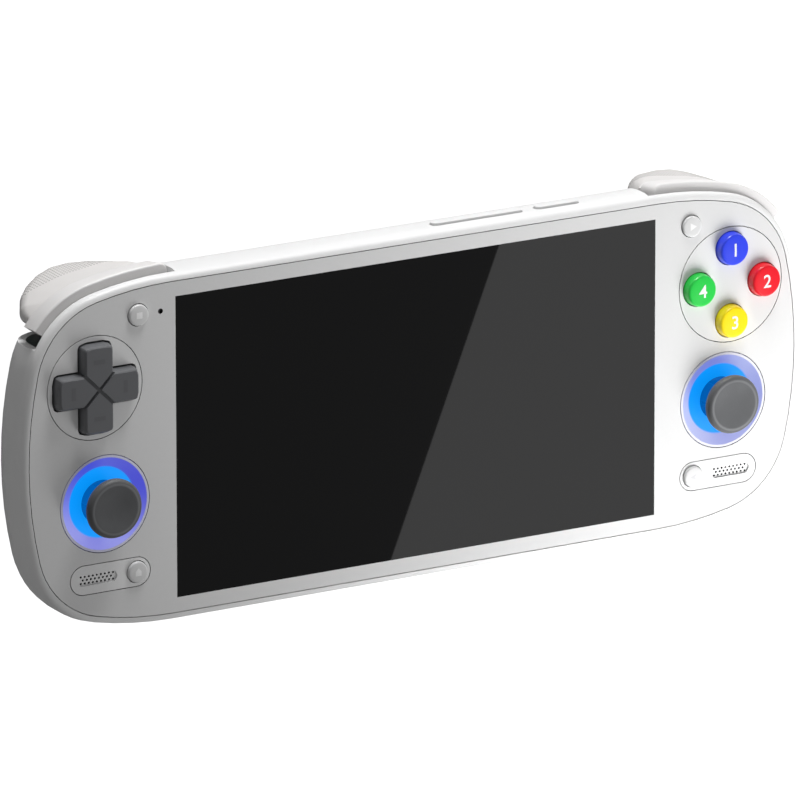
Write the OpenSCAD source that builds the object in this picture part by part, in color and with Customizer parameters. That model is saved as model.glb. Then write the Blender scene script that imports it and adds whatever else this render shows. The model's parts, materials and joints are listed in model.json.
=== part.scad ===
// Handheld game console with two thumb sticks, a direction pad, four face buttons,
// bumpers and triggers. Millimetres. X runs to the right of the player, Y towards the
// shoulder buttons and Z out of the screen. The origin is the middle of the flat back.

/* [Body] */
// Width of the front glass
glass_w = 194.5; // [186:0.5:204]
// Height of the front glass
glass_h = 75.2; // [71:0.5:80]
// Thickness of the body from its flat back to the glass
body_t = 15.6; // [15:0.1:18]
// Width of each wing, from the straight run of the edge to the glass's side
wing_w = 35.45; // [34.5:0.05:36.5]
// Radius of the bowed left and right sides
side_r = 93.4; // [85:0.5:105]
// Radius of the four corners
corner_r = 19; // [17:0.5:22]
// Radius of the shoulder between the straight run and a corner
shoulder_r = 83.4; // [76:0.5:92]
// Width of the rim round the glass
rim_w = 2.1; // [1.9:0.1:2.6]
// Height of the front frame's rim above the parting line
rim_t = 1.7; // [1.4:0.1:1.8]
// How far the parting line lies inside the widest outline
rim_lean = 0.3; // [0.2:0.05:0.5]
// Rounding of the rear edge
back_r = 8.6; // [7.6:0.1:9.6]
// Wall thickness of the rear shell
wall = 1.6; // [1.2:0.1:1.8]
// Thickness of the glass
glass_t = 1.1; // [0.8:0.1:1.3]
// Thickness of the front frame's plate behind the display
plate_t = 1.2; // [0.9:0.1:1.4]

/* [Display] */
// Distance of the lit area from the glass's sides
screen_in = 36.35; // [36:0.05:40]
// Height of the lit area
screen_h = 68.5; // [62:0.1:70]
// Thickness of the display panel
display_t = 1.6; // [1.2:0.1:1.8]
// Border of the display panel round the lit area
display_border = 1.6; // [1:0.1:2]

/* [Direction pad] */
// Distance of the direction pad from the glass's side
dpad_in = 16.25; // [15:0.25:17.5]
// Height of the direction pad above the middle
dpad_y = 16.5; // [15:0.5:18]
// Diameter of the round field of the direction pad
dpad_field_d = 23.3; // [22.8:0.1:24.4]
// Span of the cross at the face
dpad_span = 20.2; // [18:0.2:20.6]
// Width of an arm of the cross
dpad_arm = 7.5; // [6.5:0.1:8]
// How far the cross stands out of the face
dpad_h = 2.3; // [1.8:0.1:2.8]
// How much narrower each side of the cross is at its top
dpad_taper = 0.45; // [0.3:0.05:0.6]
// Rounding of the corners of an arm
dpad_round = 1.2; // [0.6:0.1:1.6]
// Gap round the cross
dpad_gap = 0.45; // [0.4:0.01:0.5]

/* [Face buttons] */
// Distance of the face buttons' middle from the glass's side
face_in = 16.75; // [15.5:0.25:18]
// Height of the face buttons' middle
face_y = 16.5; // [15:0.5:18]
// Diameter of the round field of the face buttons
face_field_d = 26.5; // [26:0.1:27.5]
// Distance of each button from the middle of its field
face_pitch = 8.4; // [7.8:0.1:8.6]
// Diameter of a face button
face_d = 7.6; // [7:0.1:7.8]
// How far a face button stands out
face_h = 2.2; // [1.6:0.1:2.6]
// Travel of a face button
face_travel = 1.2; // [0.8:0.1:1.3]
// Gap round a button in its hole
button_gap = 0.2; // [0.15:0.01:0.25]

/* [Menu buttons] */
// Distance of the upper menu buttons from the glass's side
menu_in = 27.05; // [26.7:0.05:27.7]
// Height of the upper menu buttons
menu_y = 31.4; // [31:0.1:31.5]
// Diameter of a menu button
menu_d = 4.8; // [4.4:0.1:5]
// How far a menu button stands out
menu_h = 0.8; // [0.6:0.1:1.1]
// Travel of a menu button
menu_travel = 0.5; // [0.3:0.05:0.6]
// Distance of the lower menu buttons from the glass's side
low_menu_in = 26.35; // [26.1:0.05:26.8]
// Distance of the pill fields from the glass's side
pill_in = 19.75; // [19.5:0.05:20]
// Height of the pill fields
pill_y = -26.8; // [-27:0.1:-26.5]
// Length of a pill field
pill_l = 19.7; // [19.4:0.1:20]
// Height of a pill field
pill_h = 6.5; // [6.4:0.1:7]
// Distance of a speaker grille's middle from the glass's side
grille_in = 16.55; // [16.4:0.05:16.75]
// Number of holes in a row of the grille
grille_n = 9; // [5:1:10]
// Distance between holes of a grille row
grille_pitch = 1.0; // [0.9:0.05:1.05]
// Distance between grille rows
grille_row = 0.75; // [0.7:0.05:1]
// Diameter of a grille hole
grille_d = 0.5; // [0.4:0.05:0.55]
// Diameter of the microphone hole
mic_d = 1.2; // [0.8:0.1:1.4]
// Distance of the microphone hole from the glass's side
mic_in = 32.65; // [32.3:0.05:32.8]

/* [Sticks] */
// Distance of the sticks from the glass's side
stick_in = 18.55; // [17.9:0.05:19.2]
// Height of the sticks
stick_y = -10.1; // [-10.5:0.1:-9.7]
// Diameter of the light ring
ring_d = 21.9; // [21.5:0.1:22.3]
// Diameter of the lit floor inside the ring
ring_floor_d = 16; // [15.4:0.1:17]
// Depth of the lit floor
ring_depth = 1.6; // [1.5:0.1:1.8]
// Width of the flat lip round the ring's bowl
ring_lip = 0.55; // [0.4:0.05:0.7]
// Diameter of the hole in the floor
ring_hole_d = 10; // [9.8:0.1:10.8]
// Diameter of a stick's cap
cap_d = 13.4; // [12.4:0.1:13.6]
// Height of the cap's rim above the face
cap_h = 5.2; // [5.1:0.1:6]
// Thickness of the cap at its rim
cap_t = 3.0; // [2.6:0.1:3.1]
// Depth of the dish in the cap
cap_dish = 0.5; // [0.2:0.05:0.8]
// Depth of a stick's pivot below the face
pivot_depth = 7.6; // [7.4:0.1:7.8]
// Travel of a stick's click
click_travel = 0.4; // [0.2:0.05:0.4]
// Side of a stick's base
base_w = 15; // [14.6:0.1:15.2]

/* [Bumpers and triggers] */
// Where bumpers and triggers begin, from the glass's side
shoulder_in = 35.55; // [35.45:0.05:35.75]
// How far a bumper's front edge stands out of the body
bumper_proud = 1.9; // [1.6:0.1:2.1]
// How much lower a bumper is at its back
bumper_fall = 0.9; // [0.7:0.1:1]
// Depth of a bumper's front behind the parting line
bumper_gap = 0.3; // [0.25:0.05:0.4]
// Depth of a bumper from its front to its back
bumper_t = 6.3; // [6:0.1:6.5]
// Angle of the corner at which a bumper ends
bumper_end = 37; // [35:1:40]
// Thickness of a bumper's curved bar
bumper_bar = 3.0; // [2.9:0.1:3.1]
// How far a trigger's front edge lies inside the body's outline
trigger_sunk = 0.4; // [0.2:0.1:0.6]
// Distance of the trigger's pin from the glass's top edge
pin_in = 7.1; // [6.9:0.1:7.3]
// Height of the trigger's pin above the back
pin_z = 3; // [2.8:0.1:3.2]
// Diameter of the trigger's pin
pin_d = 2; // [1.8:0.1:2.2]
// Wall of a trigger
trigger_wall = 1.5; // [1.3:0.1:1.6]
// Running clearance round pins and pegs
run_gap = 0.06; // [0.03:0.01:0.09]
// How deep the rear swellings below the triggers reach
swell_z = -11.2; // [-12:0.1:-11]

/* [Top keys] */
// Middle of the volume rocker
volume_x = 17.5; // [15:0.5:18.5]
// Length of the volume rocker
volume_l = 23; // [18:0.5:24]
// Middle of the power button
power_x = 38; // [37:0.5:42]
// Length of the power button
power_l = 11; // [8:0.5:12]
// Height of the top keys
key_h = 2.4; // [2:0.1:2.6]
// Depth of the top keys below the face
key_depth = 4.7; // [4.6:0.1:5]
// How far the top keys stand out
key_proud = 0.5; // [0.3:0.1:0.8]

/* [Inside] */
// Thickness of the circuit boards
board_t = 1.0; // [0.8:0.1:1.1]
// Height of the main board above the back
main_z = 6.0; // [5.9:0.05:6.1]
// Height of the control boards above the back
side_z = 7.2; // [7.1:0.05:7.3]
// Thickness of the battery
battery_t = 5.3; // [4:0.1:5.4]
// Diameter of the fan
fan_d = 26; // [22:0.5:27]
// Thickness of the fan's housing
fan_t = 4.0; // [3.8:0.1:4.2]
// Number of fan blades
fan_blades = 13; // [7:1:17]
// Diameter of the headphone jack's bore
jack_d = 3.5; // [3.5:0.1:3.6]

/* [Hidden] */
$fn = 64;

// Colours
white = [0.93, 0.93, 0.93];
light_grey = [0.83, 0.82, 0.82];
dark_grey = [0.28, 0.29, 0.30];
black = [0.05, 0.05, 0.06];
steel = [0.68, 0.69, 0.71];
copper = [0.78, 0.46, 0.30];
board_green = [0.05, 0.22, 0.16];
rubber_grey = [0.55, 0.56, 0.58];
lilac = [0.55, 0.52, 0.95];

// Overlap that joins pieces of one moulding, and reach of a cut past a face
weld = 0.4;
past = 1;
// Gap between the glass and what stands in and round it
seam = 0.18;
// Gap between pieces that nest
nest_gap = 0.15;

// Levels of the stack, from the back to the face
face_z = body_t;
part_z = face_z - rim_t;
glass_z = face_z - glass_t;
display_z = glass_z - display_t;
plate_z = display_z - plate_t;
floor_z = wall;
key_z = face_z - key_depth;
pivot_z = face_z - pivot_depth;

// Corner arc, tangent to the bowed side and to the shoulder
half_w = glass_w / 2;
half_h = glass_h / 2;
wing_x = half_w - wing_w;
side_c = [half_w - side_r, 0];
shoulder_c = [wing_x, half_h - shoulder_r];
centre_gap = norm(shoulder_c - side_c);
reach_side = side_r - corner_r;
reach_shoulder = shoulder_r - corner_r;
along = (centre_gap^2 + reach_side^2 - reach_shoulder^2) / (2 * centre_gap);
across = sqrt(reach_side^2 - along^2);
unit = (shoulder_c - side_c) / centre_gap;
corner_c = side_c + along * unit + across * [-unit.y, unit.x] * (unit.y < 0 ? 1 : -1);
side_end = atan2(corner_c.y - side_c.y, corner_c.x - side_c.x);
shoulder_end = atan2(corner_c.y - shoulder_c.y, corner_c.x - shoulder_c.x);
side_steps = 4;
corner_steps = 10;
shoulder_steps = 4;

// Points of an arc, without its last point
function arc(centre, r, from, to, steps) =
    [for (i = [0:steps - 1]) let (a = from + (to - from) * i / steps) centre + r * [cos(a), sin(a)]];

// A quarter of the outline at a distance off outside the glass
function quarter(off) = concat(
    arc(side_c, side_r + off, 0, side_end, side_steps),
    arc(corner_c, corner_r + off, side_end, shoulder_end, corner_steps),
    arc(shoulder_c, shoulder_r + off, shoulder_end, 90, shoulder_steps),
    [shoulder_c + [0, shoulder_r + off]]);
function turned(list) = [for (i = [len(list) - 1:-1:0]) list[i]];
function tail(list) = [for (i = [1:len(list) - 1]) list[i]];
function head(list) = [for (i = [0:len(list) - 2]) list[i]];
function mirrored(list, sx, sy) = [for (p = list) [p.x * sx, p.y * sy]];

// Whole outline, anticlockwise
function outline(off) = let (q = quarter(off)) concat(
    q,
    turned(tail(mirrored(q, -1, 1))),
    mirrored(q, -1, -1),
    turned(tail(mirrored(q, 1, -1))));

function lifted(list, z) = [for (p = list) [p.x, p.y, z]];

// Solid through rings with the same even number of points, from the lowest ring to the highest
module skin(rings) {
    n = len(rings[0]);
    m = len(rings);
    // Strips close the ends, so that a ring may be bent like a bow
    strips = [for (i = [0:n / 2 - 2]) [i, i + 1, n - 2 - i, n - 1 - i]];
    polyhedron(
        points = [for (r = rings) for (p = r) p],
        faces = concat(
            strips,
            [for (k = [0:m - 2]) for (i = [0:n - 1]) [k * n + i, (k + 1) * n + i, (k + 1) * n + (i + 1) % n]],
            [for (k = [0:m - 2]) for (i = [0:n - 1]) [k * n + i, (k + 1) * n + (i + 1) % n, k * n + (i + 1) % n]],
            [for (s = strips) [for (i = turned(s)) (m - 1) * n + i]]));
}

// Solid through outlines given as distance and level
module loft(levels) {
    skin([for (l = levels) lifted(outline(l[0]), l[1])]);
}

// Straight-sided solid on the outline
module slab(off, z0, z1) {
    translate([0, 0, z0])
        linear_extrude(z1 - z0)
            polygon(outline(off));
}

// Cylinder between two levels at a point of the face
module post(p, d, z0, z1) {
    translate([p.x, p.y, z0])
        cylinder(d = d, h = z1 - z0);
}

// Box from its lowest to its highest corner
module block(a, b) {
    translate(a)
        cube(b - a);
}

// Two-dimensional pill along X
module pill(l, h) {
    square([l - h, h], center = true);
    for (s = [-1, 1])
        translate([s * (l - h) / 2, 0])
            circle(d = h);
}

// Right-hand shapes drawn on the side that s names
module on_side(s) {
    mirror([s < 0 ? 1 : 0, 0, 0])
        children();
}

// Shape drawn in Y and Z, made solid from x0 to x1
module along_x(x0, x1) {
    translate([x0, 0, 0])
        rotate([90, 0, 90])
            linear_extrude(x1 - x0)
                children();
}

// Places of the controls, from the sides of the glass
screen_w = glass_w - 2 * screen_in;
stick_x = half_w - stick_in;
menu_x = half_w - menu_in;
low_menu_x = half_w - low_menu_in;
pill_x = half_w - pill_in;
grille_x = half_w - grille_in;
shoulder_x = half_w - shoulder_in;
pin_y = half_h - pin_in;
dpad_p = [dpad_in - half_w, dpad_y];
face_p = [half_w - face_in, face_y];
face_ps = [for (a = [90, 0, 270, 180]) face_p + face_pitch * [cos(a), sin(a)]];
stick_ps = [[-stick_x, stick_y], [stick_x, stick_y]];
menu_ps = [[-menu_x, menu_y], [menu_x, menu_y], [-low_menu_x, pill_y], [low_menu_x, pill_y]];
mic_p = [mic_in - half_w, menu_y];
button_colours = [[0.23, 0.31, 0.94], [0.94, 0.13, 0.19], [1, 0.9, 0.12], [0.19, 0.85, 0.33]];

// Buttons and their flanges under the plate
flange_t = 0.8;
face_flange = 1.5;
menu_flange = 1.6;
menu_hole_d = menu_d + 2 * button_gap;

// Case screws: a post of the shell meets a post of the frame
post_d = 5.2;
screw_d = 1.8;
screw_head_d = 3.8;
screw_head_t = 1.0;
screw_sunk = 0.3;
screw_gap = 0.15;
screw_x = wing_x - 5.8;
screw_y = 25;
screw_ps = concat(
    [for (y = [screw_y, -screw_y]) for (x = [-screw_x, screw_x]) [x, y]],
    [[0.3 - wing_x, 0], [wing_x - 0.3, 0]]);
post_split_z = 8;
screw_end_z = 10.6;

// Posts that carry the control boards
side_post_d = 3.6;
side_post_ps = [[wing_x + 6.4, 26.5], [wing_x + 32.2, 7]];

// Bumper pegs under the frame
peg_d = 2;
peg_p = [shoulder_x + 2, half_h - 2.1];
peg_end_z = 7.2;

// Glass

module glass_holes(gap) {
    for (p = stick_ps)
        translate(p)
            circle(d = ring_d + 2 * gap);
    translate(dpad_p)
        circle(d = dpad_field_d + 2 * gap);
    translate(face_p)
        circle(d = face_field_d + 2 * gap);
    for (s = [-1, 1])
        translate([s * pill_x, pill_y])
            pill(pill_l + 2 * gap, pill_h + 2 * gap);
    for (i = [0, 1])
        translate(menu_ps[i])
            circle(d = menu_hole_d);
    translate(mic_p)
        circle(d = mic_d);
}

module front_glass() {
    color(white)
        translate([0, 0, glass_z])
            linear_extrude(glass_t)
                difference() {
                    polygon(outline(0));
                    glass_holes(seam);
                }
}

module display_panel() {
    color(black)
        translate([0, 0, display_z])
            linear_extrude(display_t)
                square([screen_w + 2 * display_border, screen_h + 2 * display_border], center = true);
}

// Front frame

// One arm across the pad: rounded corners and slightly bowed ends
module arm_plan(span, arm, r) {
    corners = [[1, 1], [-1, 1], [-1, -1], [1, -1]];
    steps = 5;
    intersection() {
        polygon([for (q = [0:3]) for (k = [0:steps]) let (a = 90 * (q + k / steps))
            [corners[q].x * (span / 2 - r), corners[q].y * (arm / 2 - r)] + r * [cos(a), sin(a)]]);
        circle(d = span + dpad_bow, $fn = 96);
    }
}

module cross_plan(gap) {
    for (turn = [0, 90])
        rotate(turn)
            arm_plan(dpad_span + 2 * gap, dpad_arm + 2 * gap, dpad_round + gap);
}

module frame_fields() {
    translate(dpad_p)
        circle(d = dpad_field_d);
    translate(face_p)
        circle(d = face_field_d);
    for (s = [-1, 1])
        translate([s * pill_x, pill_y])
            pill(pill_l, pill_h);
}

module frame_openings() {
    for (p = stick_ps)
        translate(p)
            circle(d = ring_d + 2 * seam);
    translate(dpad_p)
        cross_plan(dpad_gap);
    for (p = face_ps)
        translate(p)
            circle(d = face_d + 2 * button_gap);
    for (p = menu_ps)
        translate(p)
            circle(d = menu_hole_d);
    translate(mic_p)
        circle(d = mic_d);
}

dpad_bow = 0.35;
grille_rows = 3;

module grille_holes() {
    for (r = [0:grille_rows - 1])
        for (i = [0:grille_n - 1 - r % 2])
            translate([(i - (grille_n - 1 - r % 2) / 2) * grille_pitch, (r - (grille_rows - 1) / 2) * grille_row])
                circle(d = grille_d, $fn = 16);
}

grille_recess = 0.3;
grille_recess_h = 2.6;
grille_recess_l = grille_n * grille_pitch + 0.8;

// Flat of the rim beside the glass
rim_flat = 0.3;

module front_frame() {
    rim_steps = 4;
    rim_levels = [for (i = [0:rim_steps]) let (a = 90 * i / rim_steps)
        [rim_flat + (rim_w - rim_lean - rim_flat) * cos(a), part_z + rim_t * sin(a)]];
    color(white)
        difference() {
            union() {
                difference() {
                    union() {
                        loft(rim_levels);
                        slab(rim_w - wall - nest_gap, plate_z, part_z + weld);
                    }
                    slab(seam, glass_z, face_z + past);
                    translate([0, 0, display_z])
                        linear_extrude(display_t + weld)
                            square([screen_w + 2 * display_border + 2 * nest_gap,
                                    screen_h + 2 * display_border + 2 * nest_gap], center = true);
                }
                translate([0, 0, glass_z - weld])
                    linear_extrude(glass_t + weld)
                        frame_fields();
                for (p = screw_ps)
                    post(p, post_d, post_split_z, plate_z + weld);
                for (s = [-1, 1])
                    on_side(s) {
                        for (p = side_post_ps)
                            post(p, side_post_d, side_z + board_t, plate_z + weld);
                        post(peg_p, peg_d, peg_end_z, plate_z + weld);
                    }
            }
            translate([0, 0, plate_z - past])
                linear_extrude(face_z - plate_z + 2 * past)
                    frame_openings();
            for (p = screw_ps)
                post(p, screw_d + screw_gap, post_split_z - past, screw_end_z);
            // Notches for the keys on the top edge
            for (k = [[volume_x, volume_l], [power_x, power_l]])
                block([k[0] - k[1] / 2 - key_ear - key_notch, key_back_y - key_travel - key_notch, plate_z - past],
                      [k[0] + k[1] / 2 + key_ear + key_notch, top_y, key_z + key_h / 2 + key_notch]);
            for (s = [-1, 1])
                translate([s * grille_x, pill_y, 0]) {
                    translate([0, 0, plate_z - past])
                        linear_extrude(face_z - plate_z + 2 * past)
                            grille_holes();
                    translate([0, 0, face_z - grille_recess])
                        linear_extrude(grille_recess + past)
                            pill(grille_recess_l, grille_recess_h);
                }
        }
}

// Rear shell

back_steps = 7;
inner_steps = 6;
// Level above which the side leans in to the parting line
side_z1 = key_z + key_h / 2 + 0.3;

function back_levels(r, steps) =
    [for (i = [0:steps]) let (a = 90 - 90 * i / steps)
        [rim_w - back_r + r * cos(a), back_r - r * sin(a)]];

// Opening for a bumper and a trigger
open_x0 = shoulder_x - 1.7;
open_x1 = half_w + 3;
open_y = pin_y - 4;
swell_mouth_y = pin_y - 2.9;
// The trigger's sweep about its pin
sweep_r = 13.3;
ear_t = 1.7;
ear_d = pin_d + 2;
ear_in = wing_x + 4;
ear_out = wing_x + 18;
ear_gap = 0.25;

// Round swellings of the back, behind the triggers
swell_r = 11.5;
swell_y = pin_y - 7.5;
swell_x0 = wing_x + 8.2;
swell_x1 = wing_x + 10.7;

module swelling() {
    hull()
        for (x = [swell_x0, swell_x1])
            translate([x, swell_y, swell_z + swell_r])
                sphere(r = swell_r, $fn = 32);
}

module ear(x0) {
    along_x(x0, x0 + ear_t) {
        translate([pin_y, pin_z])
            circle(d = ear_d);
        polygon([[22, 1.2], [pin_y - 2.5, 1.2], [pin_y + 0.6, pin_z - 0.6],
                 [pin_y - 0.8, pin_z + 0.8], [pin_y - 4, pin_z + 0.4]]);
    }
}

module swept(x0, x1, r) {
    translate([x0, pin_y, pin_z])
        rotate([0, 90, 0])
            cylinder(r = r, h = x1 - x0);
}

// The fan lies between the heat pipe and the fins
fan_wall = 1;
fan_gap = 0.8;
fan_side = fan_d + 2 * (fan_wall + fan_gap);
pipe_w = 3;
pipe_x = wing_x - 11.1;
fin_y0 = 21.4;
fin_y1 = 27.6;
fan_p = [pipe_x - pipe_w / 2 - 0.4 - fan_side / 2, fin_y0 - 0.6 - fan_side / 2];

// Slots in the back below the fan and in the rounding beside the fins
intake_n = 6;
intake_w = 1.5;
intake_pitch = 3.4;
intake_l = 18;
vent_n = 8;
vent_w = 1.5;
vent_pitch = 3.2;

// Keys, ports and their holes in the wall
top_y = half_h + rim_w;
key_gap = 0.2;
// Room in which the volume rocker tilts behind the wall
key_room = 0.5;
key_in_y = top_y - wall - key_room;
key_flange = 0.9;
key_ear = 0.8;
key_back_y = key_in_y - key_flange;
key_travel = 0.4;
key_notch = 0.3;
usb_w = 9;
usb_h = 3.3;
usb_gap = 0.25;
usb_l = 7.4;
jack_x = -20;
jack_z = main_z + board_t + 2.2;
jack_collar_d = 4.8;
card_x = 26;
card_w = 14;
card_l = 15;
card_t = 1.6;
card_slit_w = 11.6;
card_slit_t = 1.0;
port_y = -(half_h + rim_w - 0.5);
// Where the holes for the ports begin behind the wall's rounding
port_in_y = wall + 2 - top_y;

// Edges of the main board and places where it is screwed down
main_x0 = 4;
main_x1 = wing_x - 8.8;
main_half_h = half_h - 4.6;
board_post_d = 3.8;
board_screw_d = 1.5;
board_screw_head_d = 2.8;
board_screw_head_t = 0.8;
board_screw_end_z = 3.4;
board_post_ps = [
    [main_x0 + 4, main_half_h - 4], [main_x1 - 3.5, main_half_h - 3],
    [main_x0 + 4, 4 - main_half_h], [main_x1 - 3.5, 3.5 - main_half_h]];

module rear_shell() {
    color(white)
        difference() {
            union() {
                difference() {
                    union() {
                        loft(concat(
                            back_levels(back_r, back_steps),
                            [[rim_w, side_z1], [rim_w - rim_lean, part_z]]));
                        for (s = [-1, 1])
                            on_side(s)
                                swelling();
                    }
                    loft(concat(back_levels(back_r - wall, inner_steps), [[rim_w - wall, part_z + past]]));
                    for (s = [-1, 1])
                        on_side(s) {
                            block([open_x0, open_y, -weld], [open_x1, half_h + 10, part_z + past]);
                            block([open_x0, swell_mouth_y, swell_z - past], [open_x1, half_h + 10, 0]);
                            intersection() {
                                swept(open_x0, open_x1, sweep_r);
                                block([open_x0, 0, swell_z - past], [open_x1, half_h, -weld]);
                            }
                            swept(ear_in + ear_gap, ear_out - ear_gap, sweep_r);
                        }
                }
                for (p = screw_ps)
                    post(p, post_d, wall / 2, post_split_z);
                for (p = board_post_ps)
                    post(p, board_post_d, wall / 2, main_z);
                for (s = [-1, 1])
                    on_side(s) {
                        ear(ear_in - ear_t);
                        ear(ear_out);
                    }
            }
            for (p = screw_ps) {
                post(p, screw_d + screw_gap, -past, post_split_z + past);
                post(p, screw_head_d + 2 * screw_gap, -past, screw_sunk + screw_head_t);
            }
            for (p = board_post_ps)
                post(p, board_screw_d + screw_gap, board_screw_end_z - 0.2, main_z + past);
            for (s = [-1, 1])
                on_side(s)
                    swept(ear_in - ear_t - past, ear_out + ear_t + past, pin_d / 2 + run_gap / 2);
            // Keys on the top edge
            translate([0, top_y + past, key_z])
                rotate([90, 0, 0])
                    linear_extrude(wall + 2 * past) {
                        translate([volume_x, 0])
                            pill(volume_l + 2 * key_gap, key_h + 2 * key_gap);
                        translate([power_x, 0])
                            pill(power_l + 2 * key_gap, key_h + 2 * key_gap);
                    }
            // Ports on the bottom edge
            translate([0, port_in_y, main_z + board_t + usb_h / 2])
                rotate([90, 0, 0])
                    linear_extrude(top_y + port_in_y + past)
                        pill(usb_w + 2 * usb_gap, usb_h + 2 * usb_gap);
            translate([jack_x, port_in_y, jack_z])
                rotate([90, 0, 0])
                    cylinder(d = jack_collar_d + 2 * usb_gap, h = top_y + port_in_y + past);
            block([card_x - card_slit_w / 2 - usb_gap, -top_y - past, main_z + board_t + 0.2],
                  [card_x + card_slit_w / 2 + usb_gap, -top_y + wall + past, main_z + board_t + card_t - 0.1]);
            for (i = [0:intake_n - 1])
                translate([fan_p.x + (i - (intake_n - 1) / 2) * intake_pitch, fan_p.y, -past])
                    linear_extrude(wall + 2 * past)
                        rotate(90)
                            pill(intake_l, intake_w);
            for (i = [0:vent_n - 1])
                let (x = fan_p.x + (i - (vent_n - 1) / 2) * vent_pitch)
                    block([x - vent_w / 2, half_h - 7, 2.4], [x + vent_w / 2, half_h + 5, 5.4]);
        }
}

module screw(p, d, head_d, head_t, head_z, end_z) {
    // The head lies at head_z and the shank runs from it to end_z
    post(p, head_d, head_z, head_z + head_t);
    if (end_z > head_z)
        post(p, d, head_z + head_t - weld, end_z);
    else
        post(p, d, end_z, head_z + weld);
}

module case_screws() {
    color(steel)
        for (p = screw_ps)
            difference() {
                screw(p, screw_d, screw_head_d, screw_head_t, screw_sunk, screw_end_z - 0.4);
                post(p, 1.4, screw_sunk - past, screw_sunk + 0.6, $fn = 6);
            }
}

module board_screws() {
    color(steel)
        for (p = board_post_ps)
            screw(p, board_screw_d, board_screw_head_d, board_screw_head_t, main_z + board_t, board_screw_end_z);
}

// Light rings

module light_ring(p) {
    outer = ring_d / 2;
    floor_r = ring_floor_d / 2;
    hole_r = ring_hole_d / 2;
    skirt = 1.2;
    floor_t = 0.9;
    color(lilac)
        translate(p)
            rotate_extrude()
                polygon([
                    [outer, plate_z], [outer, face_z], [outer - ring_lip, face_z],
                    [floor_r, face_z - ring_depth], [hole_r, face_z - ring_depth],
                    [hole_r, face_z - ring_depth - floor_t], [outer - skirt, face_z - ring_depth - floor_t],
                    [outer - skirt, plate_z]]);
}

module left_light_ring() {
    light_ring(stick_ps[0]);
}

module right_light_ring() {
    light_ring(stick_ps[1]);
}

// Direction pad

pad_t = 0.7;
pad_z = side_z + board_t;
ball_r = 1.35;
socket_gap = 0.08;
nub_h = 0.3;
ball_z = pad_z + pad_t + nub_h + ball_r + 0.02;
dpad_disc_r = 9;
dpad_disc_z0 = ball_z - 0.4;
dpad_disc_z1 = ball_z + 0.5;
groove_w = 0.8;
groove_t = 0.5;
// Share of the taper and depth below the top, round the edge of an arm
dpad_steps = [[1, 0.6], [1.7, 0.25], [3, 0.01]];

module dpad_cap() {
    top_z = face_z + dpad_h;
    neck_z = face_z + 0.3;
    color(dark_grey)
        translate(dpad_p)
            difference() {
                union() {
                    post([0, 0], 2 * dpad_disc_r, dpad_disc_z0, dpad_disc_z1);
                    translate([0, 0, dpad_disc_z1 - weld])
                        linear_extrude(neck_z - dpad_disc_z1 + weld)
                            cross_plan(0);
                    // Each arm narrows to its top
                    for (turn = [0, 90])
                        rotate(turn)
                            hull() {
                                translate([0, 0, neck_z - weld])
                                    linear_extrude(weld)
                                        arm_plan(dpad_span, dpad_arm, dpad_round);
                                for (step = dpad_steps)
                                    let (in = step[0] * dpad_taper)
                                        translate([0, 0, top_z - step[1]])
                                            linear_extrude(0.01)
                                                arm_plan(dpad_span - in, dpad_arm - in, dpad_round - in / 4);
                            }
                }
                translate([0, 0, ball_z])
                    sphere(r = ball_r + socket_gap);
                // Two grooves cross the top
                for (turn = [45, 135])
                    rotate(turn)
                        block([-dpad_arm, -groove_w / 2, top_z - groove_t], [dpad_arm, groove_w / 2, top_z + past]);
            }
}

module dpad_pivot() {
    color(steel)
        translate([dpad_p.x, dpad_p.y, ball_z])
            sphere(r = ball_r);
}

contact_d = 4;
dpad_pad_d = 21;

module dpad_pad() {
    color(rubber_grey)
        translate(dpad_p) {
            post([0, 0], dpad_pad_d, pad_z, pad_z + pad_t);
            post([0, 0], 2.2, pad_z + pad_t - weld, pad_z + pad_t + nub_h);
            for (a = [0:90:270])
                post(7 * [cos(a), sin(a)], contact_d, pad_z + pad_t - weld, pad_z + pad_t + 0.15);
        }
}

// Face buttons

module face_button(i) {
    r = face_d / 2;
    top = face_z + face_h;
    edge = 0.55;
    color(button_colours[i])
        translate(face_ps[i])
            rotate_extrude()
                polygon(concat(
                    [[0, plate_z - flange_t], [r + face_flange - button_gap, plate_z - flange_t],
                     [r + face_flange - button_gap, plate_z], [r, plate_z], [r, face_z]],
                    [for (a = [0:18:90]) [r - 0.2 - edge + edge * cos(a), top - 0.15 - edge + edge * sin(a)]],
                    [[0, top]]));
}

module button_top() {
    face_button(0);
}

module button_right() {
    face_button(1);
}

module button_bottom() {
    face_button(2);
}

module button_left() {
    face_button(3);
}

face_pad_d = 22.4;

module face_button_pad() {
    dome_z = plate_z - flange_t - face_travel - 0.15;
    color(rubber_grey)
        union() {
            post(face_p, face_pad_d, pad_z, pad_z + pad_t);
            for (p = face_ps)
                post(p, 5, pad_z + pad_t - weld, dome_z);
        }
}

// Menu buttons

module menu_button(p) {
    r = menu_d / 2;
    top = face_z + menu_h;
    edge = 0.4;
    color(white)
        translate(p)
            rotate_extrude()
                polygon(concat(
                    [[0, plate_z - flange_t], [r + menu_flange / 2, plate_z - flange_t],
                     [r + menu_flange / 2, plate_z], [r, plate_z]],
                    [for (a = [0:30:90]) [r - edge + edge * cos(a), top - 0.1 - edge + edge * sin(a)]],
                    [[0, top]]));
}

module select_button() {
    menu_button(menu_ps[0]);
}

module start_button() {
    menu_button(menu_ps[1]);
}

module home_button() {
    menu_button(menu_ps[2]);
}

module back_button() {
    menu_button(menu_ps[3]);
}

// Switch with its plunger, standing on a control board
module tact_switch(p, top_z) {
    case_w = 3;
    case_t = 1.4;
    block([p.x - case_w / 2, p.y - case_w / 2, pad_z], [p.x + case_w / 2, p.y + case_w / 2, pad_z + case_t]);
    post(p, 1.5, pad_z + case_t - weld, top_z);
}

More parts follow.
